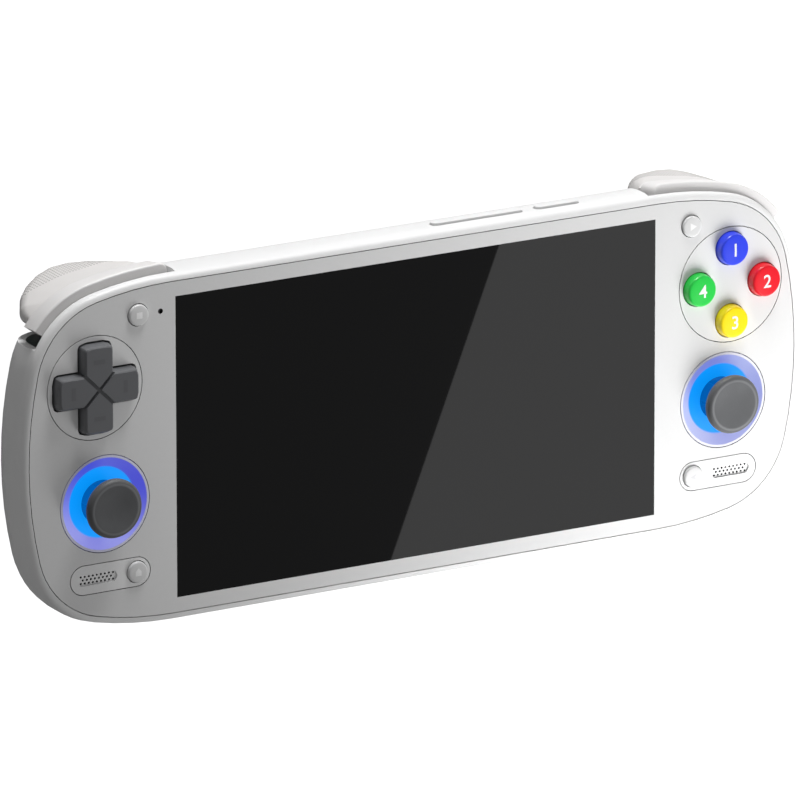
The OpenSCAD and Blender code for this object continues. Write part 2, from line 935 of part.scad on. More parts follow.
module menu_switches() {
    color(steel)
        for (p = menu_ps)
            tact_switch(p, plate_z - flange_t - menu_travel - 0.1);
}

// Keys on the top edge

module top_key(x, l) {
    translate([x, 0, key_z])
        rotate([90, 0, 0]) {
            translate([0, 0, -top_y - key_proud])
                linear_extrude(top_y + key_proud - key_in_y + weld)
                    pill(l, key_h);
            translate([0, 0, -key_in_y])
                linear_extrude(key_flange)
                    pill(l + 2 * key_ear, key_h - 0.2);
        }
}

module volume_rocker() {
    color(light_grey)
        top_key(volume_x, volume_l);
}

module power_button() {
    color(light_grey)
        top_key(power_x, power_l);
}

module key_switches() {
    back_y = key_back_y - key_travel - 0.15;
    color(steel)
        for (x = [volume_x - volume_l / 2 + 3, volume_x + volume_l / 2 - 3, power_x])
            block([x - 1.8, back_y - 1.6, key_z - 1.2], [x + 1.8, back_y, plate_z]);
}

// Sticks

base_z = 3.4;
base_wall = 1.3;
mount_t = 0.8;
mount_l = 26;
mount_h = 17;
mount_hole_d = 11;
trunnion_d = 2;
axle_d = 1.6;
yoke_x = 10.4;
yoke_y = 7.6;
yoke_half_t = 1.5;
yoke_wall = 1.1;
lever_r = 2.3;
neck_d = 4.4;
stem_d = 3.6;
post_top_z = face_z + cap_h - 1.5;
cap_under_z = face_z + cap_h - cap_t;
sleeve_z = cap_under_z - 1.2;
sleeve_d = 6;
post_room = 0.15;

module stick_base(p) {
    inner = base_w - 2 * base_wall;
    color(dark_grey)
        translate(p)
            difference() {
                union() {
                    block([-base_w / 2, -base_w / 2, base_z], [base_w / 2, base_w / 2, plate_z]);
                    block([-mount_l / 2, -mount_h / 2, plate_z - mount_t], [mount_l / 2, mount_h / 2, plate_z]);
                }
                block([-inner / 2, -inner / 2, base_z + base_wall], [inner / 2, inner / 2, plate_z - mount_t]);
                post([0, 0], mount_hole_d, plate_z - mount_t - past, plate_z + past);
                translate([-base_w, 0, pivot_z])
                    rotate([0, 90, 0])
                        cylinder(d = trunnion_d + 2 * run_gap, h = 2 * base_w);
            }
}

module stick_yoke(p) {
    color(light_grey)
        translate([p.x, p.y, pivot_z])
            difference() {
                union() {
                    block([-yoke_x / 2, -yoke_y / 2, -yoke_half_t], [yoke_x / 2, yoke_y / 2, yoke_half_t]);
                    translate([-base_w / 2, 0, 0])
                        rotate([0, 90, 0])
                            cylinder(d = trunnion_d, h = base_w);
                }
                block([-yoke_x / 2 + yoke_wall + 0.4, -yoke_y / 2 + yoke_wall, -yoke_half_t - past],
                      [yoke_x / 2 - yoke_wall - 0.4, yoke_y / 2 - yoke_wall, yoke_half_t + past]);
                rotate([90, 0, 0])
                    cylinder(d = axle_d + 2 * run_gap, h = 2 * yoke_y, center = true);
            }
}

module stick_lever(p) {
    shoulder_z = sleeve_z - click_travel - 0.3 - pivot_z;
    color(dark_grey)
        translate([p.x, p.y, pivot_z]) {
            sphere(r = lever_r);
            rotate([90, 0, 0])
                cylinder(d = axle_d, h = yoke_y - 0.2, center = true);
            cylinder(d = neck_d, h = shoulder_z);
            cylinder(d = stem_d, h = post_top_z - pivot_z);
        }
}

module stick_cap(p) {
    r = cap_d / 2;
    top = face_z + cap_h;
    edge = 0.9;
    rim = 1.3;
    color(dark_grey)
        translate(p)
            difference() {
                rotate_extrude()
                    polygon(concat(
                        [[0, sleeve_z], [sleeve_d / 2, sleeve_z], [sleeve_d / 2, cap_under_z],
                         [r - 1.1, cap_under_z]],
                        [for (a = [-60:20:80]) [r - edge + edge * cos(a), top - 1.2 + edge * sin(a) * 1.3]],
                        [[r - rim, top]],
                        [for (t = [0.25:0.25:1]) [(r - rim - 0.3) * (1 - t), top - cap_dish * (1 - (1 - t)^2)]]));
                post([0, 0], stem_d + 2 * run_gap, sleeve_z - past, post_top_z + click_travel + post_room);
            }
}

module left_stick_base() {
    stick_base(stick_ps[0]);
}

module left_stick_yoke() {
    stick_yoke(stick_ps[0]);
}

module left_stick_lever() {
    stick_lever(stick_ps[0]);
}

module left_stick_cap() {
    stick_cap(stick_ps[0]);
}

module right_stick_base() {
    stick_base(stick_ps[1]);
}

module right_stick_yoke() {
    stick_yoke(stick_ps[1]);
}

module right_stick_lever() {
    stick_lever(stick_ps[1]);
}

module right_stick_cap() {
    stick_cap(stick_ps[1]);
}

module stick_sensors() {
    sensor_t = 1.6;
    sensor_w = 8;
    color(black)
        for (s = [-1, 1])
            on_side(s)
                translate([stick_x, stick_y, base_z + 1]) {
                    block([base_w / 2, -sensor_w / 2, 0], [base_w / 2 + sensor_t, sensor_w / 2, 6]);
                    block([-sensor_w / 2, -base_w / 2 - sensor_t, 0], [sensor_w / 2, -base_w / 2, 6]);
                }
}

// Bumpers

bumper_z1 = part_z - bumper_gap;
bumper_z0 = bumper_z1 - bumper_t;
bumper_in = rim_w + bumper_proud - bumper_bar;
bumper_edge = 0.5;
arm_z0 = bumper_z0 + 0.4;
arm_z1 = plate_z - 1.5;
arm_off = -2.2;
boss_d = 4;
switch_x = wing_x + 13.7;
switch_w = 4;
switch_gap = 0.55;
end_round = 1.8;
end_steps = 3;

// Path along the top edge and round the corner at a distance off outside the glass
function corner_path(off, x0, end) = concat(
    [[x0, half_h + off]],
    arc(shoulder_c, shoulder_r + off, 90, shoulder_end, shoulder_steps),
    arc(corner_c, corner_r + off, shoulder_end, end, corner_steps),
    [corner_c + (corner_r + off) * [cos(end), sin(end)]]);

// Closed band between two such paths, anticlockwise
function band(off_in, off_out, x0, end) =
    concat(turned(corner_path(off_out, x0, end)), corner_path(off_in, x0, end));

// Section of a bumper: its inner end is rounded, set in by end_in
function bumper_ring(off_out, end_in) = concat(
    turned(tail(tail(corner_path(off_out, 0, bumper_end)))),
    [for (k = [0:end_steps]) let (a = 90 + 90 * k / end_steps)
        [shoulder_x + end_in + end_round * (1 + cos(a)), half_h + off_out + end_round * (sin(a) - 1)]],
    corner_path(bumper_in, shoulder_x + end_in, bumper_end));

module bumper(s) {
    out = rim_w + bumper_proud;
    // Inset of the top and of the end at each level, from the back to the rounded front edge
    rings = [[bumper_fall + 0.3, 0, bumper_z0], [bumper_fall, 0, bumper_z0 + 0.3], [0, 0, bumper_z1 - bumper_edge],
             [bumper_edge / 3, bumper_edge / 9, bumper_z1 - bumper_edge / 3],
             [bumper_edge, bumper_edge / 6, bumper_z1]];
    color(light_grey)
        on_side(s)
            difference() {
                union() {
                    skin([for (l = rings) lifted(bumper_ring(out - l[0], l[1]), l[2])]);
                    post(peg_p, boss_d, arm_z0, arm_z1);
                    translate([0, 0, arm_z0])
                        linear_extrude(arm_z1 - arm_z0)
                            intersection() {
                                polygon(band(arm_off, bumper_in + weld, shoulder_x + 0.2, bumper_end));
                                square([switch_x + switch_w, half_h + rim_w]);
                            }
                }
                post(peg_p, peg_d + 2 * run_gap, arm_z0 - past, arm_z1 + past);
            }
}

module left_bumper() {
    bumper(-1);
}

module right_bumper() {
    bumper(1);
}

// Level of the lever's inner edge at the switch
arm_reach = sqrt((shoulder_r + arm_off)^2 - (switch_x - wing_x)^2);
switch_y1 = shoulder_c.y + arm_reach - switch_gap;
switch_y0 = switch_y1 - 2.3;

module bumper_switches() {
    case_y0 = switch_y0 - 1.3;
    color(steel)
        for (s = [-1, 1])
            on_side(s)
                union() {
                    block([switch_x - switch_w / 2, case_y0, pad_z], [switch_x + switch_w / 2, switch_y0, pad_z + 1.3]);
                    block([switch_x - 0.6, switch_y0 - weld, pad_z + 0.3],
                          [switch_x + 0.6, switch_y1, pad_z + 1.1]);
                }
}

// Triggers

trigger_z = bumper_z0 - 0.3;

// Front face of a trigger; drop moves its lower edge down
function trigger_front(inset, drop) = concat(
    turned(corner_path(rim_w - trigger_sunk - inset, shoulder_x + inset, bumper_end + 3 + 3 * inset)),
    [[shoulder_x + inset, half_h - 3 - drop], [wing_x + 24.2, half_h - 5 - drop]]);

// Ridge and skirt of a trigger, as round knuckles: places from the wing and the pin, and radius
knuckles = [
    [4.1, 6.1, 2.6, 3], [9.2, 3.7, -5.4, 4.1], [13, 3.7, -6.2, 4.1], [16.2, 3.4, -6.1, 4.15],
    [19, 2.7, -5.3, 4.15], [22, 2.1, -3.6, 3.8], [24.6, 1.6, -1.2, 3.4], [27.6, 0.8, 2.6, 2.6],
    [9.4, -3, -5.2, 3.8], [14.2, -3, -5.2, 3.8]];

module trigger_form(inset, drop) {
    hull() {
        translate([0, 0, trigger_z - 0.05 - inset])
            linear_extrude(0.05)
                polygon(trigger_front(inset, drop));
        for (k = knuckles) {
            translate([wing_x + k[0], pin_y + k[1], k[2]])
                sphere(r = k[3] - inset, $fn = drop > 0 ? 12 : 28);
            if (drop > 0)
                translate([wing_x + k[0], pin_y + k[1] - drop, k[2]])
                    sphere(r = k[3] - inset, $fn = 12);
        }
    }
}

spring_room = 3.6;

module trigger(s) {
    barrel_x0 = ear_in + ear_gap + spring_room;
    barrel_x1 = ear_out - ear_gap;
    web_t = 1.6;
    color(light_grey)
        on_side(s)
            difference() {
                union() {
                    difference() {
                        trigger_form(0, 0);
                        trigger_form(trigger_wall, 16);
                    }
                    swept(barrel_x0, barrel_x1, ear_d / 2);
                    for (x = [barrel_x0 + 0.6, barrel_x1 - web_t - 0.6])
                        block([x, pin_y + 0.6, pin_z - 4.5], [x + web_t, pin_y + 7, pin_z + 1.2]);
                }
                swept(barrel_x0 - past, barrel_x1 + past, pin_d / 2 + run_gap);
            }
}

module left_trigger() {
    trigger(-1);
}

module right_trigger() {
    trigger(1);
}

module trigger_pin(s) {
    color(steel)
        on_side(s)
            swept(ear_in - ear_t - 0.2, ear_out + ear_t + 0.2, pin_d / 2);
}

module left_trigger_pin() {
    trigger_pin(-1);
}

module right_trigger_pin() {
    trigger_pin(1);
}

// Torsion spring: coils round the pin and two straight legs
wire_r = 0.3;
coil_r = pin_d / 2 + 0.25 + wire_r;
coil_turns = 3;
coil_rings = 12;
leg_l = 3.4;

function spring_path() = let (
        x0 = ear_in + ear_gap + wire_r + 0.2,
        pitch = (spring_room - 2 * wire_r - 0.6) / coil_turns,
        first = -100,
        last = first + 360 * coil_turns,
        start = [x0, pin_y + coil_r * cos(first), pin_z + coil_r * sin(first)],
        end = [x0 + pitch * coil_turns, pin_y + coil_r * cos(last), pin_z + coil_r * sin(last)])
    concat(
        [start - leg_l * [0, -sin(first), cos(first)], start - leg_l / 2 * [0, -sin(first), cos(first)]],
        [for (i = [0:coil_rings * coil_turns]) let (a = first + 360 * i / coil_rings)
            [x0 + pitch * i / coil_rings, pin_y + coil_r * cos(a), pin_z + coil_r * sin(a)]],
        [end + leg_l / 2 * [0, -sin(last), cos(last)], end + leg_l * [0, -sin(last), cos(last)]]);

// Round wire along a path that never runs along X
module wire(path, r, sides) {
    n = len(path);
    skin([for (i = [0:n - 1]) let (
            t = path[min(i + 1, n - 1)] - path[max(i - 1, 0)],
            u = cross(t, [1, 0, 0]) / norm(cross(t, [1, 0, 0])),
            v = cross(t, u) / norm(t))
        [for (k = [0:sides - 1]) let (a = 360 * k / sides) path[i] + r * (cos(a) * u + sin(a) * v)]]);
}

module trigger_spring(s) {
    color(steel)
        on_side(s)
            wire(spring_path(), wire_r, 6);
}

module left_trigger_spring() {
    trigger_spring(-1);
}

module right_trigger_spring() {
    trigger_spring(1);
}

// Boards and what they carry

foot_x0 = -30;
foot_y0 = 2.2 - half_h;
foot_y1 = -24;

module main_board() {
    color(board_green)
        translate([0, 0, main_z])
            linear_extrude(board_t)
                difference() {
                    union() {
                        translate([main_x0, -main_half_h])
                            square([main_x1 - main_x0, 2 * main_half_h]);
                        translate([foot_x0, foot_y0])
                            square([main_x1 - foot_x0, foot_y1 - foot_y0]);
                    }
                    for (p = board_post_ps)
                        translate(p)
                            circle(d = board_screw_d + 2 * screw_gap);
                }
}

// Control board: a field under the buttons, a tab to the upper menu button
// and a strip past the stick to the lower one
module side_board(s) {
    x0 = wing_x + 3.4;
    field_y = 3.6;
    field_h = 25;
    tab_w = 6.6;
    strip_w = 5.4;
    foot_w = 8.4;
    foot_y = pill_y - foot_w / 2;
    color(board_green)
        on_side(s)
            translate([0, 0, side_z])
                linear_extrude(board_t)
                    intersection() {
                        polygon(outline(-2.4));
                        union() {
                            translate([x0, field_y])
                                square([half_w - x0, field_h]);
                            translate([menu_x - tab_w / 2, field_y])
                                square([tab_w, menu_y - field_y + 1.8]);
                            translate([menu_x, field_y])
                                square([switch_x + switch_w / 2 + 0.4 - menu_x, switch_y0 - field_y]);
                            translate([x0, foot_y])
                                square([strip_w, field_y - foot_y + weld]);
                            translate([x0, foot_y])
                                square([foot_w, foot_w]);
                        }
                    }
}

module left_board() {
    side_board(-1);
}

module right_board() {
    side_board(1);
}

ribbon_w = 8;
ribbon_y = 8;
ribbon_t = 0.3;
ribbon_rise = 1.1;

// Flat cable that lies on two boards and rises between them, drawn in X and Z
module ribbon(x0, z0, x1, z1, y) {
    top = max(z0, z1) + ribbon_rise;
    translate([0, y + ribbon_w / 2, 0])
        rotate([90, 0, 0])
            linear_extrude(ribbon_w)
                polygon([
                    [x0, z0], [x0 + 4, z0], [x0 + 6, top], [x1 - 6, top], [x1 - 4, z1], [x1, z1],
                    [x1, z1 + ribbon_t], [x1 - 4 + ribbon_t, z1 + ribbon_t], [x1 - 6 + ribbon_t, top + ribbon_t],
                    [x0 + 6 - ribbon_t, top + ribbon_t], [x0 + 4 - ribbon_t, z0 + ribbon_t], [x0, z0 + ribbon_t]]);
}

module ribbon_cables() {
    color([0.75, 0.5, 0.2])
        union() {
            ribbon(-wing_x - 7.2, pad_z, main_x0 + 8, main_z + board_t, ribbon_y);
            ribbon(main_x1 - 8, main_z + board_t, wing_x + 5.7, pad_z, ribbon_y);
        }
}

can_t = 1.8;
can_wall = 0.4;
can_x0 = main_x0 + 9;
can_x1 = main_x1 - 7;
can_y0 = -20.8;
can_y1 = -1;

module shield_can() {
    low = [can_x0, can_y0, main_z + board_t];
    high = [can_x1, can_y1, main_z + board_t + can_t];
    color(steel)
        difference() {
            block(low, high);
            block(low + [can_wall, can_wall, -past], high - can_wall * [1, 1, 1]);
        }
}

spreader_t = 1.1;
spreader_x0 = main_x0 + 10;
spreader_x1 = main_x1 - 7;
spreader_y0 = -28;
spreader_y1 = fan_p.y - fan_side / 2 - 2.2;
pipe_t = 2;
pipe_y = -20.5;

module heat_spreader() {
    color(copper)
        block([spreader_x0, spreader_y0, main_z - spreader_t], [spreader_x1, spreader_y1, main_z]);
}

module heat_pipe() {
    x0 = (spreader_x0 + spreader_x1) / 2;
    end_y = (fin_y0 + fin_y1) / 2;
    color(copper)
        translate([0, 0, main_z - spreader_t - pipe_t])
            linear_extrude(pipe_t) {
                translate([x0, pipe_y - pipe_w / 2])
                    square([pipe_x - x0, pipe_w]);
                translate([pipe_x - pipe_w / 2, pipe_y])
                    square([pipe_w, end_y - pipe_y]);
                for (y = [pipe_y, end_y])
                    translate([pipe_x, y])
                        circle(d = pipe_w);
                translate([fin_x1, end_y - pipe_w / 2])
                    square([pipe_x - fin_x1, pipe_w]);
            }
}

fin_n = 14;
fin_t = 0.4;
fin_x0 = fan_p.x - fan_d / 2 - 1;
fin_x1 = fan_p.x + fan_d / 2 + 1.2;

module fin_stack() {
    color(copper)
        union() {
            block([fin_x0, fin_y0, main_z - 0.7], [fin_x1, fin_y1, main_z]);
            for (i = [0:fin_n - 1])
                let (x = fin_x0 + (fin_x1 - fin_x0 - fin_t) * i / (fin_n - 1))
                    block([x, fin_y0, floor_z + 0.2], [x + fin_t, fin_y1, main_z - 0.3]);
        }
}

fan_hub_d = 11;
spindle_d = 2;

module fan_housing() {
    z1 = floor_z + fan_t;
    color(black)
        translate(fan_p)
            difference() {
                union() {
                    difference() {
                        block([-fan_side / 2, -fan_side / 2, floor_z], [fan_side / 2, fan_side / 2, z1]);
                        post([0, 0], fan_d + 2 * fan_gap, floor_z + 0.6, z1 - 0.5);
                        block([-fan_d / 2 - fan_gap, 0, floor_z + 0.6], [fan_d / 2 + fan_gap, fan_side, z1 - 0.5]);
                        post([0, 0], fan_d - 6, floor_z - past, z1);
                    }
                    block([-1, -fan_d / 2, floor_z], [1, fan_d / 2, floor_z + 0.6]);
                    post([0, 0], 6, floor_z, floor_z + 0.6);
                    post([0, 0], spindle_d, floor_z, z1 - 0.9);
                }
            }
}

module fan_rotor() {
    z0 = floor_z + 0.9;
    z1 = floor_z + fan_t - 0.8;
    color(black)
        translate(fan_p)
            difference() {
                union() {
                    post([0, 0], fan_hub_d, z0, z1);
                    translate([0, 0, z0 + 0.2])
                        linear_extrude(z1 - z0 - 0.4)
                            for (i = [0:fan_blades - 1])
                                rotate(360 * i / fan_blades)
                                    fan_blade();
                }
                post([0, 0], spindle_d + 2 * run_gap, z0 - past, z1 + past);
            }
}

module fan_blade() {
    blade_r = 8;
    blade_t = 0.6;
    intersection() {
        translate([(fan_hub_d + fan_d) / 4, 1 - blade_r])
            difference() {
                circle(r = blade_r);
                circle(r = blade_r - blade_t);
            }
        difference() {
            circle(d = fan_d);
            circle(d = fan_hub_d - 1);
        }
        translate([0, -fan_hub_d / 4])
            square(fan_d);
    }
}

battery_x1 = -2;
battery_y0 = -22;
battery_y1 = half_h - 9.6;

module battery() {
    color([0.2, 0.21, 0.23])
        block([-main_x1, battery_y0, floor_z], [battery_x1, battery_y1, floor_z + battery_t]);
}

module usb_port() {
    lip = 0.35;
    tongue_t = 0.7;
    color(steel)
        translate([0, port_y, main_z + board_t + usb_h / 2])
            rotate([-90, 0, 0]) {
                difference() {
                    linear_extrude(usb_l)
                        pill(usb_w, usb_h);
                    translate([0, 0, -past])
                        linear_extrude(usb_l - lip + past)
                            pill(usb_w - 2 * lip, usb_h - 2 * lip);
                }
                translate([0, 0, 0.8])
                    linear_extrude(usb_l - 0.9)
                        square([6.7, tongue_t], center = true);
            }
}

jack_l = 11.8;

module headphone_jack() {
    case_w = 6;
    color(black)
        difference() {
            union() {
                block([jack_x - case_w / 2, port_y + 2.4, main_z + board_t],
                      [jack_x + case_w / 2, port_y + jack_l + 1, jack_z + 2.2]);
                translate([jack_x, port_y, jack_z])
                    rotate([-90, 0, 0])
                        cylinder(d = jack_collar_d, h = 2.4 + weld);
            }
            translate([jack_x, port_y - past, jack_z])
                rotate([-90, 0, 0])
                    cylinder(d = jack_d, h = jack_l + past);
        }
}

module card_slot() {
    z = main_z + board_t;
    color(steel)
        difference() {
            block([card_x - card_w / 2, port_y + 2.6, z], [card_x + card_w / 2, port_y + 2.6 + card_l, z + card_t]);
            block([card_x - card_slit_w / 2, port_y, z + 0.3],
                  [card_x + card_slit_w / 2, port_y + 1.4 + card_l, z + 0.3 + card_slit_t]);
        }
}

module microphone() {
    color(steel)
        difference() {
            block([mic_p.x - 1.7, mic_p.y - 1.3, plate_z - 1.1], [mic_p.x + 1.7, mic_p.y + 1.3, plate_z]);
            post(mic_p, 0.6, plate_z - 0.5, plate_z + past);
        }
}

module speaker(s) {
    z0 = plate_z - 4.6;
    color(black)
        on_side(s)
            translate([grille_x, pill_y, 0])
                difference() {
                    block([-6.3, -4, z0], [6.3, 4, plate_z]);
                    block([-5.4, -2, plate_z - 0.8], [5.4, 2, plate_z + past]);
                }
}

module left_speaker() {
    speaker(-1);
}

module right_speaker() {
    speaker(1);
}

front_glass();
display_panel();
front_frame();
rear_shell();
case_screws();
board_screws();
left_light_ring();
right_light_ring();
dpad_cap();
dpad_pivot();
dpad_pad();
button_top();
button_right();
button_bottom();
button_left();
face_button_pad();
select_button();
start_button();
home_button();
back_button();
menu_switches();
volume_rocker();
power_button();
key_switches();
left_stick_base();
left_stick_yoke();
left_stick_lever();
left_stick_cap();
right_stick_base();
right_stick_yoke();
right_stick_lever();
right_stick_cap();
stick_sensors();
left_bumper();
right_bumper();
bumper_switches();
left_trigger();
right_trigger();
left_trigger_pin();
right_trigger_pin();
left_trigger_spring();
right_trigger_spring();
main_board();
left_board();
right_board();
ribbon_cables();
shield_can();
heat_spreader();
heat_pipe();
fin_stack();
fan_housing();
fan_rotor();
battery();
usb_port();
headphone_jack();
card_slot();
microphone();
left_speaker();
right_speaker();
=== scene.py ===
"""Finishes, marks and studio of a handheld game console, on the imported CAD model."""

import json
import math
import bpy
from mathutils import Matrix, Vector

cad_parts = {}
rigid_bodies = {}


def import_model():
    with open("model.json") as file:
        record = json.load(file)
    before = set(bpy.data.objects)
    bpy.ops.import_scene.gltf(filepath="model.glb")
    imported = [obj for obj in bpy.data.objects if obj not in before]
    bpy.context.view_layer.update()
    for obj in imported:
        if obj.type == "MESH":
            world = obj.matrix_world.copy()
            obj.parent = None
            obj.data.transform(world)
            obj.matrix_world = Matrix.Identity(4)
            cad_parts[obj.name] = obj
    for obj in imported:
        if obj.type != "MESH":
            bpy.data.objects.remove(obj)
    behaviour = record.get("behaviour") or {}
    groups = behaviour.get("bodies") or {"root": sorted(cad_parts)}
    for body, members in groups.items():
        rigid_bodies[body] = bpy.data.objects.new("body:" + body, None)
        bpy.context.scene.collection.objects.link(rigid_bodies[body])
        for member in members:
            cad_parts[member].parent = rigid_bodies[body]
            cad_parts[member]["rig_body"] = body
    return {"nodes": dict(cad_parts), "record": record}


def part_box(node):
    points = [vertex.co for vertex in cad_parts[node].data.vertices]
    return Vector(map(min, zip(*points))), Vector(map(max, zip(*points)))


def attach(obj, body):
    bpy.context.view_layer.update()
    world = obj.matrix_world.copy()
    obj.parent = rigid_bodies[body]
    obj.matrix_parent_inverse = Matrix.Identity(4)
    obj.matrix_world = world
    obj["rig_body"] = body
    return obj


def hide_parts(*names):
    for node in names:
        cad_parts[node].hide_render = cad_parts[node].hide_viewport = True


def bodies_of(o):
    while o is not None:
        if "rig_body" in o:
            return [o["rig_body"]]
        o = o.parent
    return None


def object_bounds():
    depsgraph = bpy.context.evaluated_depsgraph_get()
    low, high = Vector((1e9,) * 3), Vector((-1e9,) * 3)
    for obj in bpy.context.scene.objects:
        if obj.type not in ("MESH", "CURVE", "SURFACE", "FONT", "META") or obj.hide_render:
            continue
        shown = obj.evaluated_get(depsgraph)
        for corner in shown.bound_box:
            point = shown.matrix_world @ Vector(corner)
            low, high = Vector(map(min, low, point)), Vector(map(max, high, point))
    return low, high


bl_info = {
    "name": "Handheld console finishes",
    "version": (1, 0, 0),
    "blender": (4, 5, 0),
    "location": "View3D > Sidebar > Console",
    "description": "Gives the console its finishes, marks, grip dots and studio",
    "category": "Object",
}

import bmesh
import bpy
from mathutils import Matrix, Vector

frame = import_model()
CAD_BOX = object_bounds()
NODES = frame["nodes"]
SLOTS = {part["node"]: part["material_slot"] for part in frame["record"]["subparts"]}
FACE_BUTTONS = ("button_top", "button_right", "button_bottom", "button_left")
SIDES = ("left", "right")
# Points of a mesh that lie closer than this are one, in metres
MERGE_DISTANCE = 0.000002
# Lift of a flat mark over the surface that carries it
MARK_LIFT = 0.000015
# Fall of a button's crowned top for each metre from its middle
FACE_CROWN = 0.049
MENU_CROWN = 0.05
# Depth below the glass's face at which the painted shade on its sides begins
GLASS_SHADE_DEPTH = 0.00003
# Shares of a trigger's width and depth that its grip dots cover
DOTS_WIDTH = 0.78
DOTS_DEPTH = 0.5
# Shift of the grip dots towards the trigger's outer end, and their distance from its lower edge
DOTS_OUTWARD = 0.0015
DOTS_RAISE = 0.0004
# Distance from which the grip dots are set down on a trigger
DOTS_DROP = 0.01
# Half the floor's side, and its distance below the console
FLOOR_HALF = 6.0
FLOOR_GAP = 0.0002
# Strength of the white surroundings
STUDIO_LIGHT = 0.21
# Camera that matches the photograph's view, with its turn in degrees
CAMERA_LENS = 562.341
CAMERA_PLACE = (-1.32327, 0.78551, 2.29636)
CAMERA_TURN = (-16.51948, -30.05417, -0.07334)


# Settings

class ConsoleSizes(bpy.types.PropertyGroup):
    """Sizes of what the scene adds to the CAD solids"""

    screen_width: bpy.props.FloatProperty(
        name="Screen width", description="Width of the clear window in the printed glass",
        default=0.1218, unit="LENGTH")
    screen_height: bpy.props.FloatProperty(
        name="Screen height", description="Height of the clear window in the printed glass",
        default=0.0685, unit="LENGTH")
    number_height: bpy.props.FloatProperty(
        name="Number height", description="Font size of the numbers on the face buttons",
        default=0.0042, unit="LENGTH")
    mark_size: bpy.props.FloatProperty(
        name="Mark size", description="Half width of the marks on the menu buttons",
        default=0.0009, unit="LENGTH")
    dot_pitch: bpy.props.FloatProperty(
        name="Dot pitch", description="Distance between the grip dots of a trigger",
        default=0.0007, unit="LENGTH")
    dot_radius: bpy.props.FloatProperty(
        name="Dot radius", description="Radius of a grip dot",
        default=0.00022, unit="LENGTH")
    pad_edge: bpy.props.FloatProperty(
        name="Pad edge", description="Rounding of the direction pad's edges",
        default=0.00028, unit="LENGTH")
    pad_groove: bpy.props.FloatProperty(
        name="Pad groove", description="Reach of the shade to each side of the direction pad's grooves",
        default=0.00055, unit="LENGTH")
    pad_arm: bpy.props.FloatProperty(
        name="Pad arm", description="Width of an arm of the direction pad",
        default=0.0075, unit="LENGTH")
    bar_length: bpy.props.FloatProperty(
        name="Bar length", description="Length of the faint bar across each arm of the direction pad",
        default=0.0028, unit="LENGTH")
    bar_width: bpy.props.FloatProperty(
        name="Bar width", description="Width of the faint bar across each arm of the direction pad",
        default=0.001, unit="LENGTH")
    bar_reach: bpy.props.FloatProperty(
        name="Bar reach", description="Distance of each bar from the middle of the direction pad",
        default=0.0064, unit="LENGTH")
    bumper_edge: bpy.props.FloatProperty(
        name="Bumper edge", description="Rounding of a bumper's ends",
        default=0.0005, unit="LENGTH")
    key_edge: bpy.props.FloatProperty(
        name="Key edge", description="Rounding of the keys on the top edge",
        default=0.0003, unit="LENGTH")
    screw_edge: bpy.props.FloatProperty(
        name="Screw edge", description="Rounding of the screws' heads",
        default=0.00012, unit="LENGTH")
    dot_height: bpy.props.FloatProperty(
        name="Dot height", description="Height of a grip dot",
        default=0.00009, unit="LENGTH")
    # Inset of the painted highlight ring on a stick cap's top
    cap_highlight_inset: bpy.props.FloatProperty(
        name="Cap rim", description="Distance of a stick cap's worn rim from its edge",
        default=0.0011, unit="LENGTH")
    floor_radius: bpy.props.FloatProperty(
        name="Ring floor radius", description="Radius of the lit floor inside a light ring",
        default=0.008, unit="LENGTH")
    ring_lip: bpy.props.FloatProperty(
        name="Ring lip", description="Width of the unlit lip round a light ring",
        default=0.00055, unit="LENGTH")
    # The well radius bounds the painted glow on the parts under a stick cap
    well_radius: bpy.props.FloatProperty(
        name="Well radius", description="Reach of the ring's light on what stands under a stick cap",
        default=0.0072, unit="LENGTH")
    field_radius: bpy.props.FloatProperty(
        name="Field radius", description="Reach of the duller white of the round fields",
        default=0.0139, unit="LENGTH")
    # The grille's place, width and height bound the painted shade in its holes
    grille_place: bpy.props.FloatVectorProperty(
        name="Grille place", description="Middle of the right grille, at the level where its holes start",
        default=(0.0807, -0.0268, 0.01528), subtype="XYZ", unit="LENGTH", precision=5)
    grille_width: bpy.props.FloatProperty(
        name="Grille width", description="Width of the field of grille holes",
        default=0.0088, unit="LENGTH")
    grille_height: bpy.props.FloatProperty(
        name="Grille height", description="Height of the field of grille holes",
        default=0.0022, unit="LENGTH")


